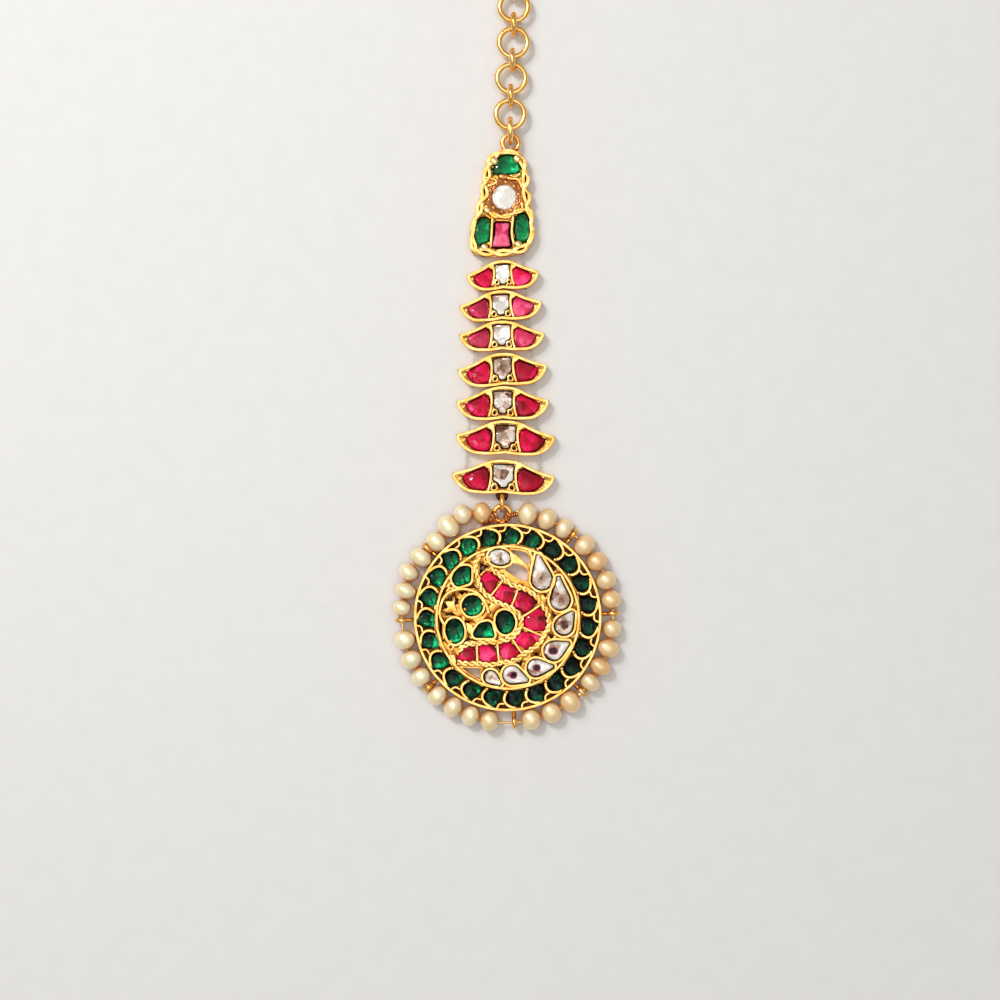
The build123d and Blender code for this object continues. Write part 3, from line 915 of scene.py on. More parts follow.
rimLook = {
    "fill": 2.25,
    "height": 2.58,
    "outerRing": (16.03, 0.26, 1.0),  # radius, wire and seed
    "innerRing": (12.33, 0.24, 9.0),
    "ringSteps": 120,
    "waver": 0.05,
    "curlLead": 7.5,  # bearing from a stone's middle to the far side of its curl
    # turn and radius of each point
    "curl": [
        (-8.5, 15.85), (-5.5, 15.65), (-2.2, 15.2), (-0.2, 14.6), (0.1, 13.9), (-0.7, 13.3), (-2.0, 12.95),
    ],
    "curlWire": 0.25,
    "bead": (0.34, 0.34, 0.306),
    "spur": [(4.3, 16.0), (4.0, 15.4), (3.0, 15.05), (1.4, 14.95), (-0.6, 15.0)],
    "spurWire": 0.19,
    "burnish": 2.68,
    "loopClearance": 0.2,  # beyond the disc's radius only the loop and the eyelets are left
    "stouter": 0.07,
}
discOutlines = {
    colour: stoneOutlines(nodeName)
    for colour, nodeName in (
        ("rim", "disc_rim_stones"),
        ("red", "peacock_red_stones"),
        ("green", "peacock_green_stones"),
        ("white", "peacock_white_stones"),
    )
}
discRadius = max(levelStep(discCentre, point).length for point in outerOutline("disc_frame"))

# what is cut out of the disc's gold, in millimetres from its centre
groundLook = {
    "pocket": {"red": 0.27, "green": 0.26, "white": 0.34},  # clear width round each stone
    "pitFloor": 1.45,
    "pitGrowth": 0.09,
    "pits": [
        [(-10.55, 5.05), (-11.0, 4.75), (-11.55, 3.5), (-11.25, 3.75)],
        [(-9.6, 3.95), (-9.6, 3.03), (-10.9, 2.9)],
        [(-11.17, 2.64), (-10.6, 1.78), (-11.6, 1.15)],
        [(-9.0, 3.2), (-8.56, 3.2), (-8.6, 2.35), (-9.05, 2.45)],
        [(-10.6, 0.78), (-9.7, 0.82), (-9.05, 0.4), (-10.55, 0.35)],
        [(-8.4, 4.45), (-7.3, 4.45), (-7.9, 3.9)],
        [(-6.07, 5.76), (-5.5, 5.13), (-6.6, 5.13)],
        [(-7.3, -0.65), (-6.6, -0.72), (-6.94, -1.25)],
        [(-7.35, -4.12), (-6.8, -3.35), (-6.25, -3.93)],
        [(-11.7, 0.0), (-11.45, -0.9), (-11.45, -2.6), (-11.2, -3.7), (-11.75, -2.2)],
        [(-4.65, 9.36), (-3.46, 8.8), (-4.9, 7.46)],
        [(7.35, 9.5), (8.35, 8.35), (7.9, 7.9)],
        [(6.2, 4.2), (6.85, 4.1), (6.5, 3.6)],
        [(8.07, 0.5), (9.2, 0.35), (8.3, -0.1)],
        [(7.0, -3.0), (7.95, -3.05), (7.6, -3.75)],
        [(-1.6, -8.5), (-0.95, -8.5), (-1.3, -9.2)],
        [(1.4, -7.85), (2.5, -7.8), (2.2, -8.9)],
        [(4.6, -6.2), (5.5, -6.25), (5.1, -6.9)],
    ],
    "openingFloor": -1.0,  # below the disc's back
    "openings": [
        [(0.6, 11.7), (2.2, 11.6), (3.35, 11.2), (3.8, 10.5), (3.85, 9.7), (3.65, 8.9), (2.8, 9.75),
         (2.1, 10.45), (1.3, 11.0), (0.6, 11.3)],
        [(0.66, 9.25), (1.7, 9.2), (2.8, 8.75), (3.5, 8.1), (3.55, 7.3), (3.4, 6.4), (2.9, 6.2), (2.0, 6.6),
         (1.0, 7.2), (0.1, 7.75), (-0.4, 8.2), (-0.1, 8.75)],
        [(-8.0, -8.75), (-4.6, -8.85), (-4.85, -10.8), (-6.3, -10.0)],
    ],
}


def carvedDisc(shape):
    # wider pockets round the peacock's stones, then pits in its ground and the openings
    look = groundLook
    top = carving["top"]
    pockets = bmesh.new()
    for colour, clear in look["pocket"].items():
        for stone in discOutlines[colour]:
            addPrism(pockets, *stoneRoom(stone, clear), top, recess)
    shape = carve(shape, pockets, discFinishes)
    pits = bmesh.new()
    for points in look["pits"]:
        outline = [fromDisc(x, y) for x, y in points]
        if signedArea(outline) < 0:
            outline.reverse()
        addPrism(pits, outset(outline, look["pitGrowth"]), look["pitFloor"], top, recess)
    for points in look["openings"]:
        addPrism(pits, [fromDisc(x, y) for x, y in points], look["openingFloor"], top, sunkTop)
    return carve(shape, pits, discFinishes)


def makeDisc():
    look = rimLook
    fromCentre = lambda place: levelStep(discCentre, place).length
    shape = carvedDisc(loweredFrame("disc_frame", look, lambda place: fromCentre(place) < discRadius))
    wires = []
    for radius, wire, seed in (look["outerRing"], look["innerRing"]):
        turns = [360 * step / look["ringSteps"] for step in range(look["ringSteps"])]
        ring = [atBearing(turn, radius, look["height"]) for turn in turns]
        wires.append((wavered(ring, look["waver"], seed), wire, True))
    for outline in discOutlines["rim"]:
        far = bearingOf(middleOf(outline)) + look["curlLead"]
        for name in ("curl", "spur"):
            line = [atBearing(far + turn, reach, look["height"]) for turn, reach in look[name]]
            wires.append((wavered(line, look["waver"], far), look[name + "Wire"], False))
            if name == "curl":
                addGranule(shape, line[-1], look["bead"])
    # painted shade: the sunk ground outside the inner ring takes the near-black finish
    for face in shape.faces:
        beyond = fromCentre(face.calc_center_median()) > look["innerRing"][0] * mm
        if face.material_index == sunkTop and beyond:
            face.material_index = recess
    # the loop and the eyelets are a little stouter than their solids
    shape.normal_update()
    for vert in shape.verts:
        if fromCentre(vert.co) > discRadius + look["loopClearance"] * mm:
            vert.co += vert.normal * look["stouter"] * mm
    addWires(shape, wires, closeness=4, burnish=look["burnish"])
    addPiece("discSetting", shape, discFinishes, ["disc_frame"])


makeDisc()

peacockLook = {
    "green": {"gap": 0.38, "wire": 0.24, "height": 2.58, "step": 0.5, "waver": 0.07},
    "white": {"gap": 0.50, "wire": 0.22, "height": 2.60, "step": 0.4, "waver": 0.05},
    "burnish": 2.70,
    "ropeBurnish": 2.78,
    "rope": {"step": 0.13, "pitch": 2.4, "swing": 0.27, "rise": 0.13, "wire": 0.27},
    "ropeHeight": 2.60,
    "ropeGap": 0.62,  # from a red stone's edge to the middle of the rope
    "ropeReach": 1.5,
    "divider": 0.2,
    "dividerReach": 0.3,
    "dividerBow": 0.12,
    "bedHeight": 1.95,
    "bedWire": 0.5,
    "innerRope": [
        (-4.3, 11.2), (-5.4, 10.2), (-5.9, 8.3), (-5.6, 6.5), (-4.8, 5), (-3.5, 3.6), (-1.5, 2.4),
        (0.3, 1.7), (1.5, 0.6), (2.2, -0.8), (1.7, -2.2), (0.5, -3.2), (-1.5, -3.9), (-3.5, -4.1),
        (-5.5, -4.3), (-7.5, -4.7), (-9, -5.6),
    ],
    "outerRope": [
        (-2.9, 9), (-1.5, 8), (-0.2, 6.9), (1.5, 5.9), (3.3, 5.2), (4.9, 4.1), (6.3, 2.7), (7.2, 0.8),
        (7.4, -1.5), (6.6, -3.8), (4.9, -5.9), (2.7, -7.3), (0, -8.2), (-3, -8.3), (-6, -8.6), (-9, -8.2),
    ],
    "leafHeights": (2.15, 2.7),
    "leafBevel": 0.1,
    # the beak, the star and two leaves
    "leaves": [
        [(0.4, 11.2), (1.3, 10.9), (2.1, 10.35), (2.8, 9.65), (3.5, 8.75), (3.9, 8.0), (2.8, 8.85),
         (1.7, 9.3), (0.6, 9.35)],
        [(-9.1, 4.1), (-9.45, 2.75), (-10.85, 2.75), (-10.4, 1.8), (-11.2, 0.95), (-9.95, 1.15),
         (-8.7, 1.0), (-9.2, 2.25)],
        [(-7.2, -0.9), (-6.1, -1.2), (-5.9, -2.2), (-6.3, -3.2), (-7.0, -2.4)],
        [(-10.2, -6.5), (-9.2, -6.4), (-8.9, -7.6), (-9.0, -8.3)],
    ],
    "arcs": [
        [(-11.85, 0.9), (-11.5, 3.0), (-10.3, 4.35), (-9.0, 4.9), (-7.6, 5.0), (-6.0, 4.7), (-4.6, 3.8),
         (-3.7, 2.4), (-3.3, 0.8)],
        [(-11.85, 0.9), (-11.75, 0.2), (-11.4, -0.6), (-11.0, -1.2)],
        [(3.7, 11.6), (4.25, 10.6), (4.3, 9.4), (4.0, 8.2)],
    ],
    "arcWire": 0.25,
    "loops": [(-9.8, 5.45, 0), (-9.9, -5.1, 45), (-3.6, 10.05, 20)],  # place and turn of each square loop
    "square": [(1, 1), (0, 1), (-1, 1), (-1, 0), (-1, -1), (0, -1), (1, -1), (1, 0)],
    "loopReach": 0.42,
    "loopWire": 0.16,
    "granules": [(-4.3, 2.3), (-7.4, 1.4), (-9.8, -4.2)],
    "granule": (0.33, 0.33, 0.264),
}


def bezel(outline, look, seed):
    # one wire round a stone
    placed = [lifted(point, look["height"]) for point in evenly(outset(outline, look["gap"]), look["step"])]
    return (wavered(placed, look["waver"], seed), look["wire"], True)


def hugged(line, outlines, gap, reach):
    # a line drawn to one distance from the nearest outline, then eased
    edges = [spot for outline in outlines for spot in evenly(outline, carving["edgeStep"])]
    drawn = []
    for point in evenly(line, carving["lineStep"], False):
        nearest = min(edges, key=lambda spot: levelStep(spot, point).length)
        away = levelStep(nearest, point)
        if away.length < reach * mm:
            point = lifted(nearest + away.normalized() * gap * mm, point.z / mm)
        drawn.append(point)
    for turn in range(3):
        middles = [(before + after) / 2 for before, after in zip(drawn, drawn[2:])]
        drawn[1:-1] = [point.lerp(middle, 0.6) for point, middle in zip(drawn[1:], middles)]
    return drawn


def dividers(outlines, line, look):
    # one wire across the band between each two neighbouring stones
    def alongLine(outline):
        return min(range(len(line)), key=lambda step: levelStep(line[step], middleOf(outline)).length)

    order = sorted(outlines, key=alongLine)
    wires = []
    for before, after in zip(order, order[1:]):
        along = levelStep(middleOf(before), middleOf(after))
        way = along.normalized()
        ahead = max((point - middleOf(before)).dot(way) for point in before)
        behind = max((middleOf(after) - point).dot(way) for point in after)
        share = (ahead + (along.length - ahead - behind) / 2) / along.length
        centre = middleOf(before).lerp(middleOf(after), share)
        side = Vector((-along.y, along.x, 0)).normalized()
        spans = [[(point - centre).dot(side) for point in outline] for outline in (before, after)]
        low = (min(spans[0]) + min(spans[1])) / 2 - look["dividerReach"] * mm
        high = (max(spans[0]) + max(spans[1])) / 2 + look["dividerReach"] * mm
        bow = way * look["dividerBow"] * mm
        places = [centre + side * low, centre + side * (low + high) / 2 + bow, centre + side * high]
        wires.append(([lifted(place, look["ropeHeight"]) for place in places], look["divider"], False))
    return wires


def makePeacock():
    look = peacockLook
    height = rimLook["height"]
    shape = bmesh.new()
    wires = []
    for colour in ("green", "white"):
        for seed, outline in enumerate(discOutlines[colour]):
            wires.append(bezel(outline, look[colour], seed * 3.1))
    for arc in look["arcs"]:
        wires.append(([fromDisc(x, y, height) for x, y in arc], look["arcWire"], False))
    for x, y, turn in look["loops"]:
        spin = Matrix.Rotation(math.radians(turn), 4, "Z")
        corners = [spin @ Vector((*corner, 0)) * look["loopReach"] for corner in look["square"]]
        square = [fromDisc(x + corner.x, y + corner.y, look["ropeHeight"]) for corner in corners]
        wires.append((square, look["loopWire"], True))
    ropes = []
    beds = []
    for name in ("innerRope", "outerRope"):
        line = smoothLine([fromDisc(x, y, look["ropeHeight"]) for x, y in look[name]])
        line = hugged(line, discOutlines["red"], look["ropeGap"], look["ropeReach"])
        ropes += twistedPair(line, look["rope"])
        bed = [lifted(point, look["bedHeight"]) for point in evenly(line, 1.0, False)]
        beds.append((bed, look["bedWire"], False))
    wires += dividers(discOutlines["red"], line, look)
    addWires(shape, wires, burnish=look["burnish"])
    addWires(shape, ropes, closeness=2, burnish=look["ropeBurnish"])
    addWires(shape, beds, finish=sunkTop)
    for points in look["leaves"]:
        addLeaf(shape, [fromDisc(x, y) for x, y in points], *look["leafHeights"], look["leafBevel"])
    for x, y in look["granules"]:
        addGranule(shape, fromDisc(x, y, height), look["granule"])
    addPiece("peacockWires", shape, [settingGold, groundGold])


makePeacock()

crescentLook = {
    "fill": 1.98,
    "height": 2.2,
    "burnish": 2.33,
    "rimInset": 0.24,
    "rimWire": 0.28,
    "waver": 0.04,
    "pocket": {"left": 0.32, "right": 0.32, "middle": 0.36},  # clear width round each stone
    "halfWidth": 8.05,  # half width at which the inner wires are drawn
    "wall": [(2.3, 2.3), (2.0, 1.4), (1.9, 0.2), (2.0, -1.0), (2.2, -2.0), (2.5, -2.75)],
    "wallWire": 0.22,
    "loop": [(0.9, -2.3), (0.95, -1.55), (1.35, -1.25), (1.75, -1.65), (1.9, -2.4)],
    "loopWire": 0.15,
    "pit": [(1.1, -2.25), (1.2, -1.65), (1.55, -1.65), (1.7, -2.25)],
    "pitFloor": 1.3,
    "wedge": [(1.95, 2.4), (3.4, 1.7), (2.0, 0.8)],  # the gold corner above each red stone
    "wedgeHeights": (1.9, 2.32),
    "wedgeBevel": 0.08,
}


def makeCrescent(number):
    look = crescentLook
    nodeName = f"crescent_{number}"
    outline = outerOutline(nodeName)
    foot = min(point.y for point in outline) - levelGap / 2
    left = min(outline, key=lambda point: point.x)
    right = max(outline, key=lambda point: point.x)
    middle = (left + right) / 2
    # one drawn millimetre across and along this crescent
    across = (right - left) / 2 / look["halfWidth"]
    along = Vector((-across.y, across.x, 0))
    finishes = [settingGold, shelfGold, recessGold]
    shape = loweredFrame(nodeName, look, lambda place: place.y > foot)
    brightWalls(shape, outline)
    for face in shape.faces:
        if face.calc_center_median().y <= foot:
            face.material_index = recess  # painted shadow: the eyelet below the last one, under its edge, takes the near-black finish
    shape = stonePockets(shape, nodeName + "_stone_", look, finishes)
    rim = evenly(outset(outline, -look["rimInset"]), carving["lineStep"])
    rim = wavered([lifted(point, look["height"]) for point in rim], look["waver"], number)
    wires = [(rim, look["rimWire"], True)]
    drawn = lambda name, side: [
        lifted(middle + across * side * x + along * y, look["height"]) for x, y in look[name]
    ]
    for side in (-1, 1):
        wires.append((drawn("wall", side), look["wallWire"], False))
        wires.append((drawn("loop", side), look["loopWire"], True))
        shape = pocket(shape, drawn("pit", side), look["pitFloor"], recess, finishes)
    for side in (-1, 1):
        addLeaf(shape, drawn("wedge", side)[::side], *look["wedgeHeights"], look["wedgeBevel"])
    addWires(shape, wires, burnish=look["burnish"])
    addPiece(f"crescentSetting{number}", shape, finishes, [nodeName])


for number in range(1, 8):
    makeCrescent(number)

# places are in millimetres from the clear round stone
plateLook = {
    "fill": 1.95,
    "height": 2.3,
    "burnish": 2.46,
    "borderBurnish": 2.5,
    "border": {"step": 0.16, "pitch": 6.2, "rise": 0.1, "wire": 0.34},
    "narrowest": 0.46,  # half of the border's width where a stone comes near
    "widest": 0.79,
    "overhang": 0.19,
    "stoneStep": 0.2,
    "stoneGap": 0.2,
    "seam": 0.26,  # a wire painted dark as the shade between the border's two strands
    "seamHeight": 2.0,
    "pocket": {"crown": 0.36, "left": 0.4, "right": 0.4, "middle": 0.34},
    "roundPocket": 3.15,
    "roundFloor": 1.7,
    "roundWires": [(2.3, 0.32), (2.72, 0.34), (3.05, 0.28)],  # copper rings round the clear stone
    "roundHeight": 1.9,
    "scallops": 10,
    "scallopDepth": 0.16,
    "petals": 10,
    "petal": (0.5, 0.52, 0.4),
    "petalReach": 2.6,
    "petalHeight": 1.95,
    # place, radius and height
    "granules": [
        (-1.7, 6.2, 0.76, 2.35),
        (2.3, 6.6, 0.76, 2.35),
        (-3.4, -8.75, 0.72, 2.3),
        (2.45, -8.25, 0.74, 2.3),
        (-2.95, -2.35, 0.62, 2.35),
    ],
    "granuleFlatness": 0.45,
    "patchPlace": (-0.1, 3.5),  # a dull blob above the clear stone
    "patch": (1.0, 0.55, 0.25),
    # places and the wire's radius
    "wires": [
        ([(-2.0, -3.1), (-2.13, -5.2), (-2.22, -7.15), (-2.35, -9.0)], 0.22),
        ([(1.6, -2.9), (1.42, -4.6), (1.3, -6.0), (1.4, -7.3), (1.8, -8.4)], 0.22),
        ([(-3.2, 3.3), (-2.2, 3.25), (-1.25, 2.8), (-1.45, 2.4), (-2.1, 2.15), (-3.0, 1.8)], 0.2),
        ([(-0.2, 3.85), (0.5, 3.3), (1.4, 3.15), (2.3, 3.2), (2.85, 2.5), (3.2, 1.4)], 0.22),
        ([(1.0, 3.75), (1.8, 3.45), (2.5, 3.75), (2.9, 4.2)], 0.18),
        ([(3.0, -0.9), (3.25, -1.6), (3.1, -2.3)], 0.2),
    ],
    "smile": [
        (-3.4, -1.7), (-2.6, -2.7), (-1.5, -3.3), (-0.2, -3.5), (1.0, -3.2), (2.0, -2.6), (3.0, -2.3),
        (4.0, -2.1),
    ],
    "smilePair": {"step": 0.16, "pitch": 4.6, "swing": 0.22, "rise": 0.08, "wire": 0.25},
}


def borderLine(outline, stones, look):
    # the border's middle line and its swing, both narrower where the stones leave little room
    edges = [spot for stone in stones for spot in evenly(stone, look["stoneStep"])]
    path = evenly(outline, carving["lineStep"])
    halves = []
    for point in path:
        room = min(levelStep(point, spot).length for spot in edges) / mm
        halves.append(min(max(room / 2, look["narrowest"]), look["widest"]))
    line = []
    swings = []
    for index, point in enumerate(path):
        around = [halves[(index + step) % len(path)] for step in range(-2, 3)]
        half = sum(around) / len(around)
        share = (half - look["narrowest"]) / (look["widest"] - look["narrowest"])
        way = (path[(index + 1) % len(path)] - path[index - 1]).normalized()
        inward = Vector((-way.y, way.x, 0))
        line.append(lifted(point + inward * (half - look["overhang"] * share) * mm, look["height"]))
        swings.append(half - look["border"]["wire"])
    return line, swings


def addRoundSetting(shape, centre, look):
    # scalloped copper wires and petals in the dish of the clear stone
    rings = []
    for reach, wire in look["roundWires"]:
        ring = []
        for step in range(72):
            turn = math.tau * step / 72
            swell = abs(math.sin(turn * look["scallops"] / 2)) * look["scallopDepth"]
            ring.append(lifted(atAngle(centre, turn, reach + swell), look["roundHeight"]))
        rings.append((ring, wire, True))
    addWires(shape, rings, finish=foil)
    for step in range(look["petals"]):
        turn = math.tau * (step + 0.3) / look["petals"]
        place = lifted(atAngle(centre, turn, look["petalReach"]), look["petalHeight"])
        addGranule(shape, place, look["petal"], turn, foil)


def makePlate():
    look = plateLook
    outline = outerOutline("plate_frame")
    crown = max(point.y for point in outline)
    finishes = [settingGold, groundGold, recessGold, copperFoil, litGold]
    shape = loweredFrame("plate_frame", look, lambda place: place.y < crown)
    brightWalls(shape, outline)
    centre = middleOf(stoneOutlines("plate_stone_round")[0])
    shape = stonePockets(shape, "plate_stone_", look, finishes)
    stones = sum((stoneOutlines("plate_stone_" + name) for name in look["pocket"]), [])
    stones = [outset(stone, look["stoneGap"]) for stone in stones]
    dish = [atAngle(centre, math.tau * step / 48, look["roundPocket"]) for step in range(48)]
    shape = pocket(shape, dish, look["roundFloor"], foil, finishes)
    line, swings = borderLine(outline, stones, look)
    border = twistedPair(line, look["border"], True, swings)
    addWires(shape, border, closeness=2, burnish=look["borderBurnish"])
    # painted shade: a dark wire sunk between the border's strands
    seam = [lifted(point, look["seamHeight"]) for point in line]
    addWires(shape, [(seam, look["seam"], True)], finish=recess)
    addRoundSetting(shape, centre, look)
    placed = lambda x, y, height=look["height"]: lifted(centre + Vector((x, y, 0)) * mm, height)
    addGranule(shape, placed(*look["patchPlace"]), look["patch"], finish=foil)
    smile = smoothLine([placed(x, y) for x, y in look["smile"]])
    wires = twistedPair(smile, look["smilePair"])
    for points, wire in look["wires"]:
        wires.append(([placed(x, y) for x, y in points], wire, False))
    addWires(shape, wires, closeness=4, burnish=look["burnish"])
    # painted highlight: the plate's granules take the paler gold
    for x, y, size, height in look["granules"]:
        halves = (size, size, size * look["granuleFlatness"])
        addGranule(shape, placed(x, y, height), halves, finish=pale)
    addPiece("plateSetting", shape, finishes, ["plate_frame"])


makePlate()

pearlShape = {
    "profileSteps": 12,
    "turnSteps": 20,
    "hole": 0.36,
    "unevenness": 0.12,  # share of the radius
    "radialGrowth": 1.2,
    "lengthGrowth": 0.16,
    "inward": 0.12,  # every pearl sits this much nearer the rim than its solid
    # where the string strays from its solid: bearing and distance outwards, in millimetres
    "strays": [
        (269, 0.0), (275, 0.2), (284, 0.0), (294, 0.6), (302, 0.0), (310, 0.0),
        (316, -0.85), (327, -0.7), (336, 0.0), (345, -0.15), (352, 0.0),
    ],
    # radial growth of a few pearls, by bearing
    "tall": {11: 1.3, 327: 1.36, 336: 1.08, 345: 1.22, 274: 1.1, 81: 1.14, 32: 1.26},
    "long": {327: 1.25, 336: 1.12},  # growth of a few along the string, by bearing
    "tan": {350: 1.0, 62: 1.0, 120: 1.0},  # the tone of the darker pearls, by bearing
    "warmSide": 100.0,  # the bearing towards which the pearls are painted tanner, as shade away from the lamps
    "warmth": 0.35,
}


def ofBearing(values, bearing, usual):
    # the value of a pearl that is listed by its bearing, or else the usual one
    for listed, value in values.items():
        if abs((bearing - listed + 180) % 360 - 180) < 5:
            return value
    return usual


def strayed(place):
    # a place on the string moved to where the string hangs
    strays = pearlShape["strays"]
    bearing = bearingOf(place)
    for (before, first), (after, last) in zip(strays, strays[1:]):
        if before <= bearing < after:
            share = (bearing - before) / (after - before)
            share = share * share * (3 - 2 * share)
            outward = levelStep(discCentre, place).normalized()
            return place + outward * (first + (last - first) * share) * mm
    return place.copy()


def addPearl(string, spot, way, halfLength, halfWidth, seed):
    # half an oval from one end of the drilled hole to the other, spun round the string
    look = pearlShape
    bearing = bearingOf(spot)
    # painted shade: pearls towards that side lean to tan, besides their own random tone
    warmth = look["warmth"] * (1 + math.cos(math.radians(bearing - look["warmSide"])))
    tone = ofBearing(look["tan"], bearing, warmth + 0.12 * math.sin(seed * 2.4))
    growth = ofBearing(look["tall"], bearing, look["radialGrowth"])
    # what the pearls at the edges of the model may grow
    room = min(min(abs(corner.x - spot.x), abs(corner.y - spot.y)) for corner in cadBounds) - halfWidth
    growth = min(growth, 1 + max(room, 0) / halfWidth)
    shape = bmesh.new()
    layer = shape.verts.layers.float.new("tone")
    start = math.asin(look["hole"] * mm / halfWidth)
    side = way.cross(Vector((0, 0, 1))).normalized()
    profile = []
    for step in range(look["profileSteps"] + 1):
        turn = start + (math.pi - 2 * start) * step / look["profileSteps"]
        along = -math.cos(turn) * halfLength
        profile.append(shape.verts.new(spot + way * along + side * math.sin(turn) * halfWidth))
    edges = [shape.edges.new(pair) for pair in zip(profile, profile[1:] + profile[:1])]
    bmesh.ops.spin(
        shape, geom=profile + edges, cent=spot, axis=way, angle=math.tau,
        steps=look["turnSteps"], use_merge=True, use_duplicate=False,
    )
    for vert in shape.verts:
        vert[layer] = tone
        reach = vert.co - spot
        radial = reach - way * reach.dot(way)
        # the hole keeps its size
        if radial.length > look["hole"] * mm * 1.1:
            swell = noise.noise(reach.normalized() * 0.9 + Vector((seed * 5.3, seed, 0)))
            reach *= 1 - (0.5 + swell) * look["unevenness"] * 0.5
            reach += side * reach.dot(side) * (growth - 1)
            vert.co = spot + reach
    addMesh(string, asMesh("pearl", shape))


def islands(shape):
    # the separate bodies of a mesh, each as a list of its vertices
    met = set()
    for first in shape.verts:
        if first in met:
            continue
        met.add(first)
        island = [first]
        for vert in island:
            # the list grows while it is walked
            for edge in vert.link_edges:
                other = edge.other_vert(vert)
                if other not in met:
                    met.add(other)
                    island.append(other)
        yield island


def makePearls():
    look = pearlShape
    source = mergedCopy("pearls")
    wire = [vert.co for vert in nodes["pearl_wire"].data.vertices]
    spots = []
    for island in islands(source):
        spot = middleOf([vert.co for vert in island])
        outward = levelStep(discCentre, spot).normalized()
        guess = Vector((outward.y, -outward.x, 0)).normalized()
        steps = [point - spot for point in wire if (point - spot).length < 3 * mm]
        ahead = [step for step in steps if step.dot(guess) > 0]
        behind = [step for step in steps if step.dot(guess) <= 0]
        way = levelStep(middleOf(behind), middleOf(ahead)).normalized() if ahead and behind else guess
        halfLength = max(abs((vert.co - spot).dot(way)) for vert in island)
        halfWidth = max((vert.co - spot).cross(way).length for vert in island)
        spot = strayed(spot) - outward * look["inward"] * mm
        spots.append((bearingOf(spot), spot, way, halfLength, halfWidth))
    source.free()
    spots.sort(key=lambda row: row[0])
    string = bmesh.new()
    for seed, (bearing, spot, way, halfLength, halfWidth) in enumerate(spots):
        # each pearl nearly meets its neighbours
        others = (spots[seed - 1], spots[(seed + 1) % len(spots)])
        gap = min((other[1] - spot).length - halfLength - other[3] for other in others)
        halfLength += min(max(gap / 2, 0.0), look["lengthGrowth"] * halfLength)
        halfLength *= ofBearing(look["long"], bearing, 1.0)
        addPearl(string, spot, way, halfLength, halfWidth, seed)
    addPiece("pearlBeads", string, [pearlSkin], ["pearls"], crease=60.0)
    wire = mergedCopy("pearl_wire")
    for vert in wire.verts:
        vert.co = strayed(vert.co)
    addPiece("pearlString", wire, [chainGold], ["pearl_wire"], crease=60.0)
    print("pearls:", len(spots))


makePearls()

# places are in millimetres from the disc's centre
wrapLook = {
    # start, end, radius of the coil, turns and wire
    "coils": [
        ((-4.3, 16.6, 1.5), (-2.3, 17.2, 1.8), 0.50, 3.5, 0.29),
        ((-3.0, 17.0, 1.9), (-2.0, 17.9, 1.9), 0.50, 2.5, 0.27),
        ((-0.5, 16.9, 1.8), (0.35, 18.1, 1.9), 0.46, 3.0, 0.25),
        ((0.3, 17.7, 1.8), (2.3, 18.0, 1.7), 0.28, 5.0, 0.2),
    ],
    "coilSteps": 9,  # points in each turn
    # place, half sizes and turn of the small ends of wire that stand up from the rim
    "posts": [
        ((-1.5, 16.8, 2.2), (0.46, 0.28, 0.35), 0.5),
        ((-0.15, 17.05, 2.3), (0.18, 0.42, 0.4), 0.1),
    ],
}


def coil(start, end, radius, turns):
    # a helix round a straight line
    way = (end - start).normalized()
    side = way.cross(Vector((0, 0, 1))).normalized()
    rise = side.cross(way)
    steps = int(turns * wrapLook["coilSteps"])
    points = []
    for step in range(steps + 1):
        turn = math.tau * turns * step / steps
        reach = (side * math.cos(turn) + rise * math.sin(turn)) * radius * mm
        points.append(start.lerp(end, step / steps) + reach)
    return points


def makeWraps():
    shape = bmesh.new()
    wraps = []
    for start, end, radius, turns, wire in wrapLook["coils"]:
        wraps.append((coil(fromDisc(*start), fromDisc(*end), radius, turns), wire, False))
    addWires(shape, wraps, closeness=4, finish=1)
    for place, halves, turn in wrapLook["posts"]:
        addGranule(shape, fromDisc(*place), halves, turn)
    addPiece("loopWraps", shape, [settingGold, copperFoil])


makeWraps()

stouter = {"jump_ring": 0.1, "chain": 0.07}  # what the wire of these solids gains all round


def makeStouter(nodeName, gain):
    shape = mergedCopy(nodeName)
    shape.normal_update()
    for vert in shape.verts:
        vert.co += vert.normal * gain * mm
    pieceName = "".join(part.capitalize() for part in nodeName.split("_"))
    addPiece("stout" + pieceName, shape, [chainGold], [nodeName], crease=60.0)


for nodeName in sorted(nodes):
    for start, gain in stouter.items():
        if nodeName.startswith(start):
            makeStouter(nodeName, gain)

# the hook and the threads are shown as their solids
asSolids = {"hair_hook": chainGold, "thread_left": clearThread, "thread_right": clearThread}
for nodeName, finish in asSolids.items():
    nodes[nodeName].data.materials.clear()
    nodes[nodeName].data.materials.append(finish)
print("chain, hook and threads finished")

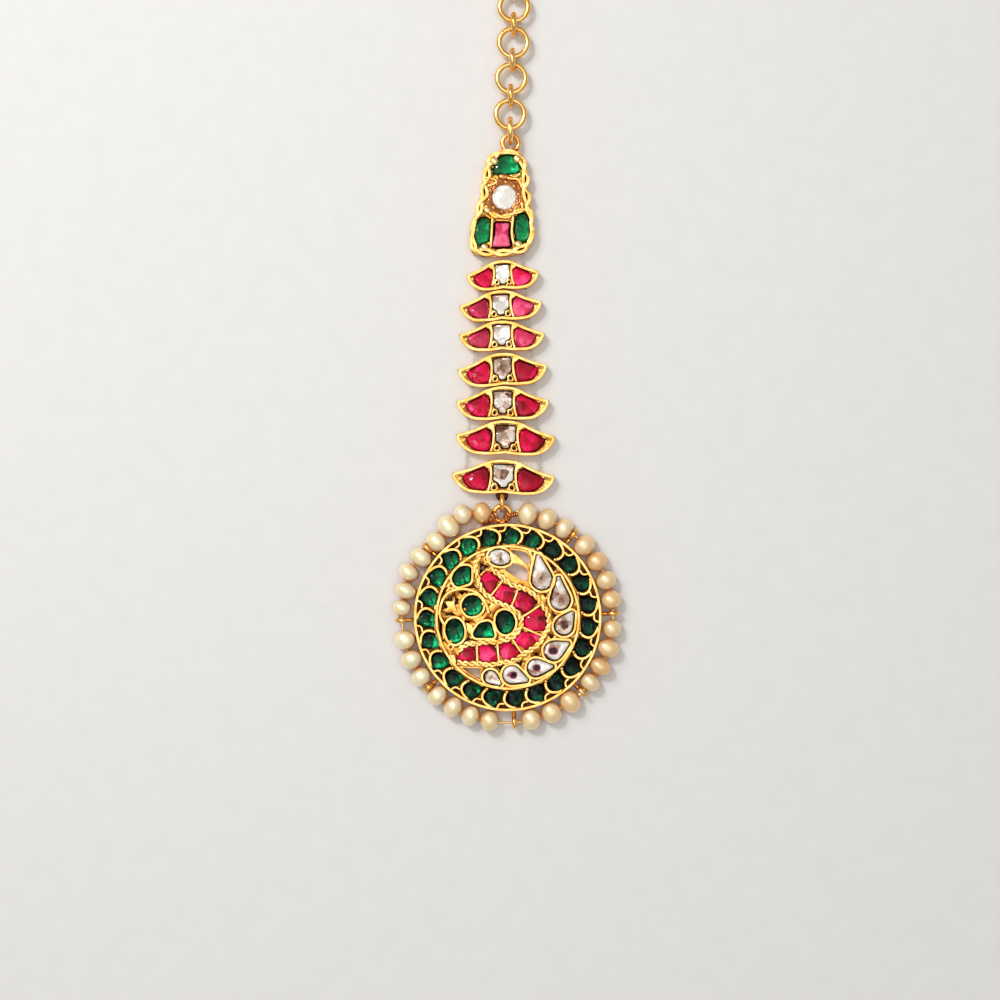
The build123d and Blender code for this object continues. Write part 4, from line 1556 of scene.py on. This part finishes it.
# sizes and places are in metres
studioLook = {
    "floorSize": 12.0,
    "floorColour": (0.80, 0.79, 0.77),
    "floorDarker": (0.776, 0.7663, 0.7469),
    "worldColour": (1.0, 0.98, 0.95, 1),
    "worldLevel": 0.42,
    # name, place from the aim, size and power
    "lamps": [
        ("softbox", (0.0, 0.0, 0.62), 0.50, 1.08),
        ("key", (-0.24, 0.26, 0.40), 0.20, 0.85),
        ("spark", (-0.20, 0.24, 0.46), 0.035, 0.55),
    ],
    "cameraHeight": 0.300,
    "aim": (-1.32, 20.36),  # in millimetres from the disc's centre
    "aimHeight": 0.0015,
    "shownWidth": 0.174,
    "sensor": 36.0,
}


def floorFinish():
    finish, tree, shader = newFinish("pale floor")
    grain = addNoise(tree, ownPlace(tree), 260.0, 4.0)
    stops = [(0.3, studioLook["floorDarker"]), (0.7, studioLook["floorColour"])]
    feed(tree, shader, {"Base Color": addRamp(tree, grain, stops), "Roughness": 0.75})
    return finish


def makeStudio():
    look = studioLook
    target = fromDisc(*look["aim"])
    shape = bmesh.new()
    bmesh.ops.create_grid(shape, x_segments=1, y_segments=1, size=look["floorSize"] / 2)
    floor = addObject("floor", asMesh("floor", shape, [floorFinish()]))
    for name, place, size, power in look["lamps"]:
        lamp = bpy.data.lights.new(name, "AREA")
        lamp.shape = "SQUARE"
        lamp.size = size
        lamp.energy = power
        holder = addObject(name, lamp)
        holder.location = target + Vector(place)
        holder.rotation_euler = (-Vector(place)).to_track_quat("-Z", "Y").to_euler()
    scene.world = bpy.data.worlds.new("studio")
    scene.world.use_nodes = True
    background = scene.world.node_tree.nodes["Background"]
    background.inputs["Color"].default_value = look["worldColour"]
    background.inputs["Strength"].default_value = look["worldLevel"]
    lens = bpy.data.cameras.new("camera")
    lens.sensor_width = look["sensor"]
    lens.lens = look["sensor"] * (look["cameraHeight"] - look["aimHeight"]) / look["shownWidth"]
    lens.clip_start = 0.01
    scene.camera = addObject("camera", lens)
    scene.camera.location = target + Vector((0, 0, look["cameraHeight"]))
    scene.view_settings.view_transform = "Standard"


makeStudio()
print("studio made")
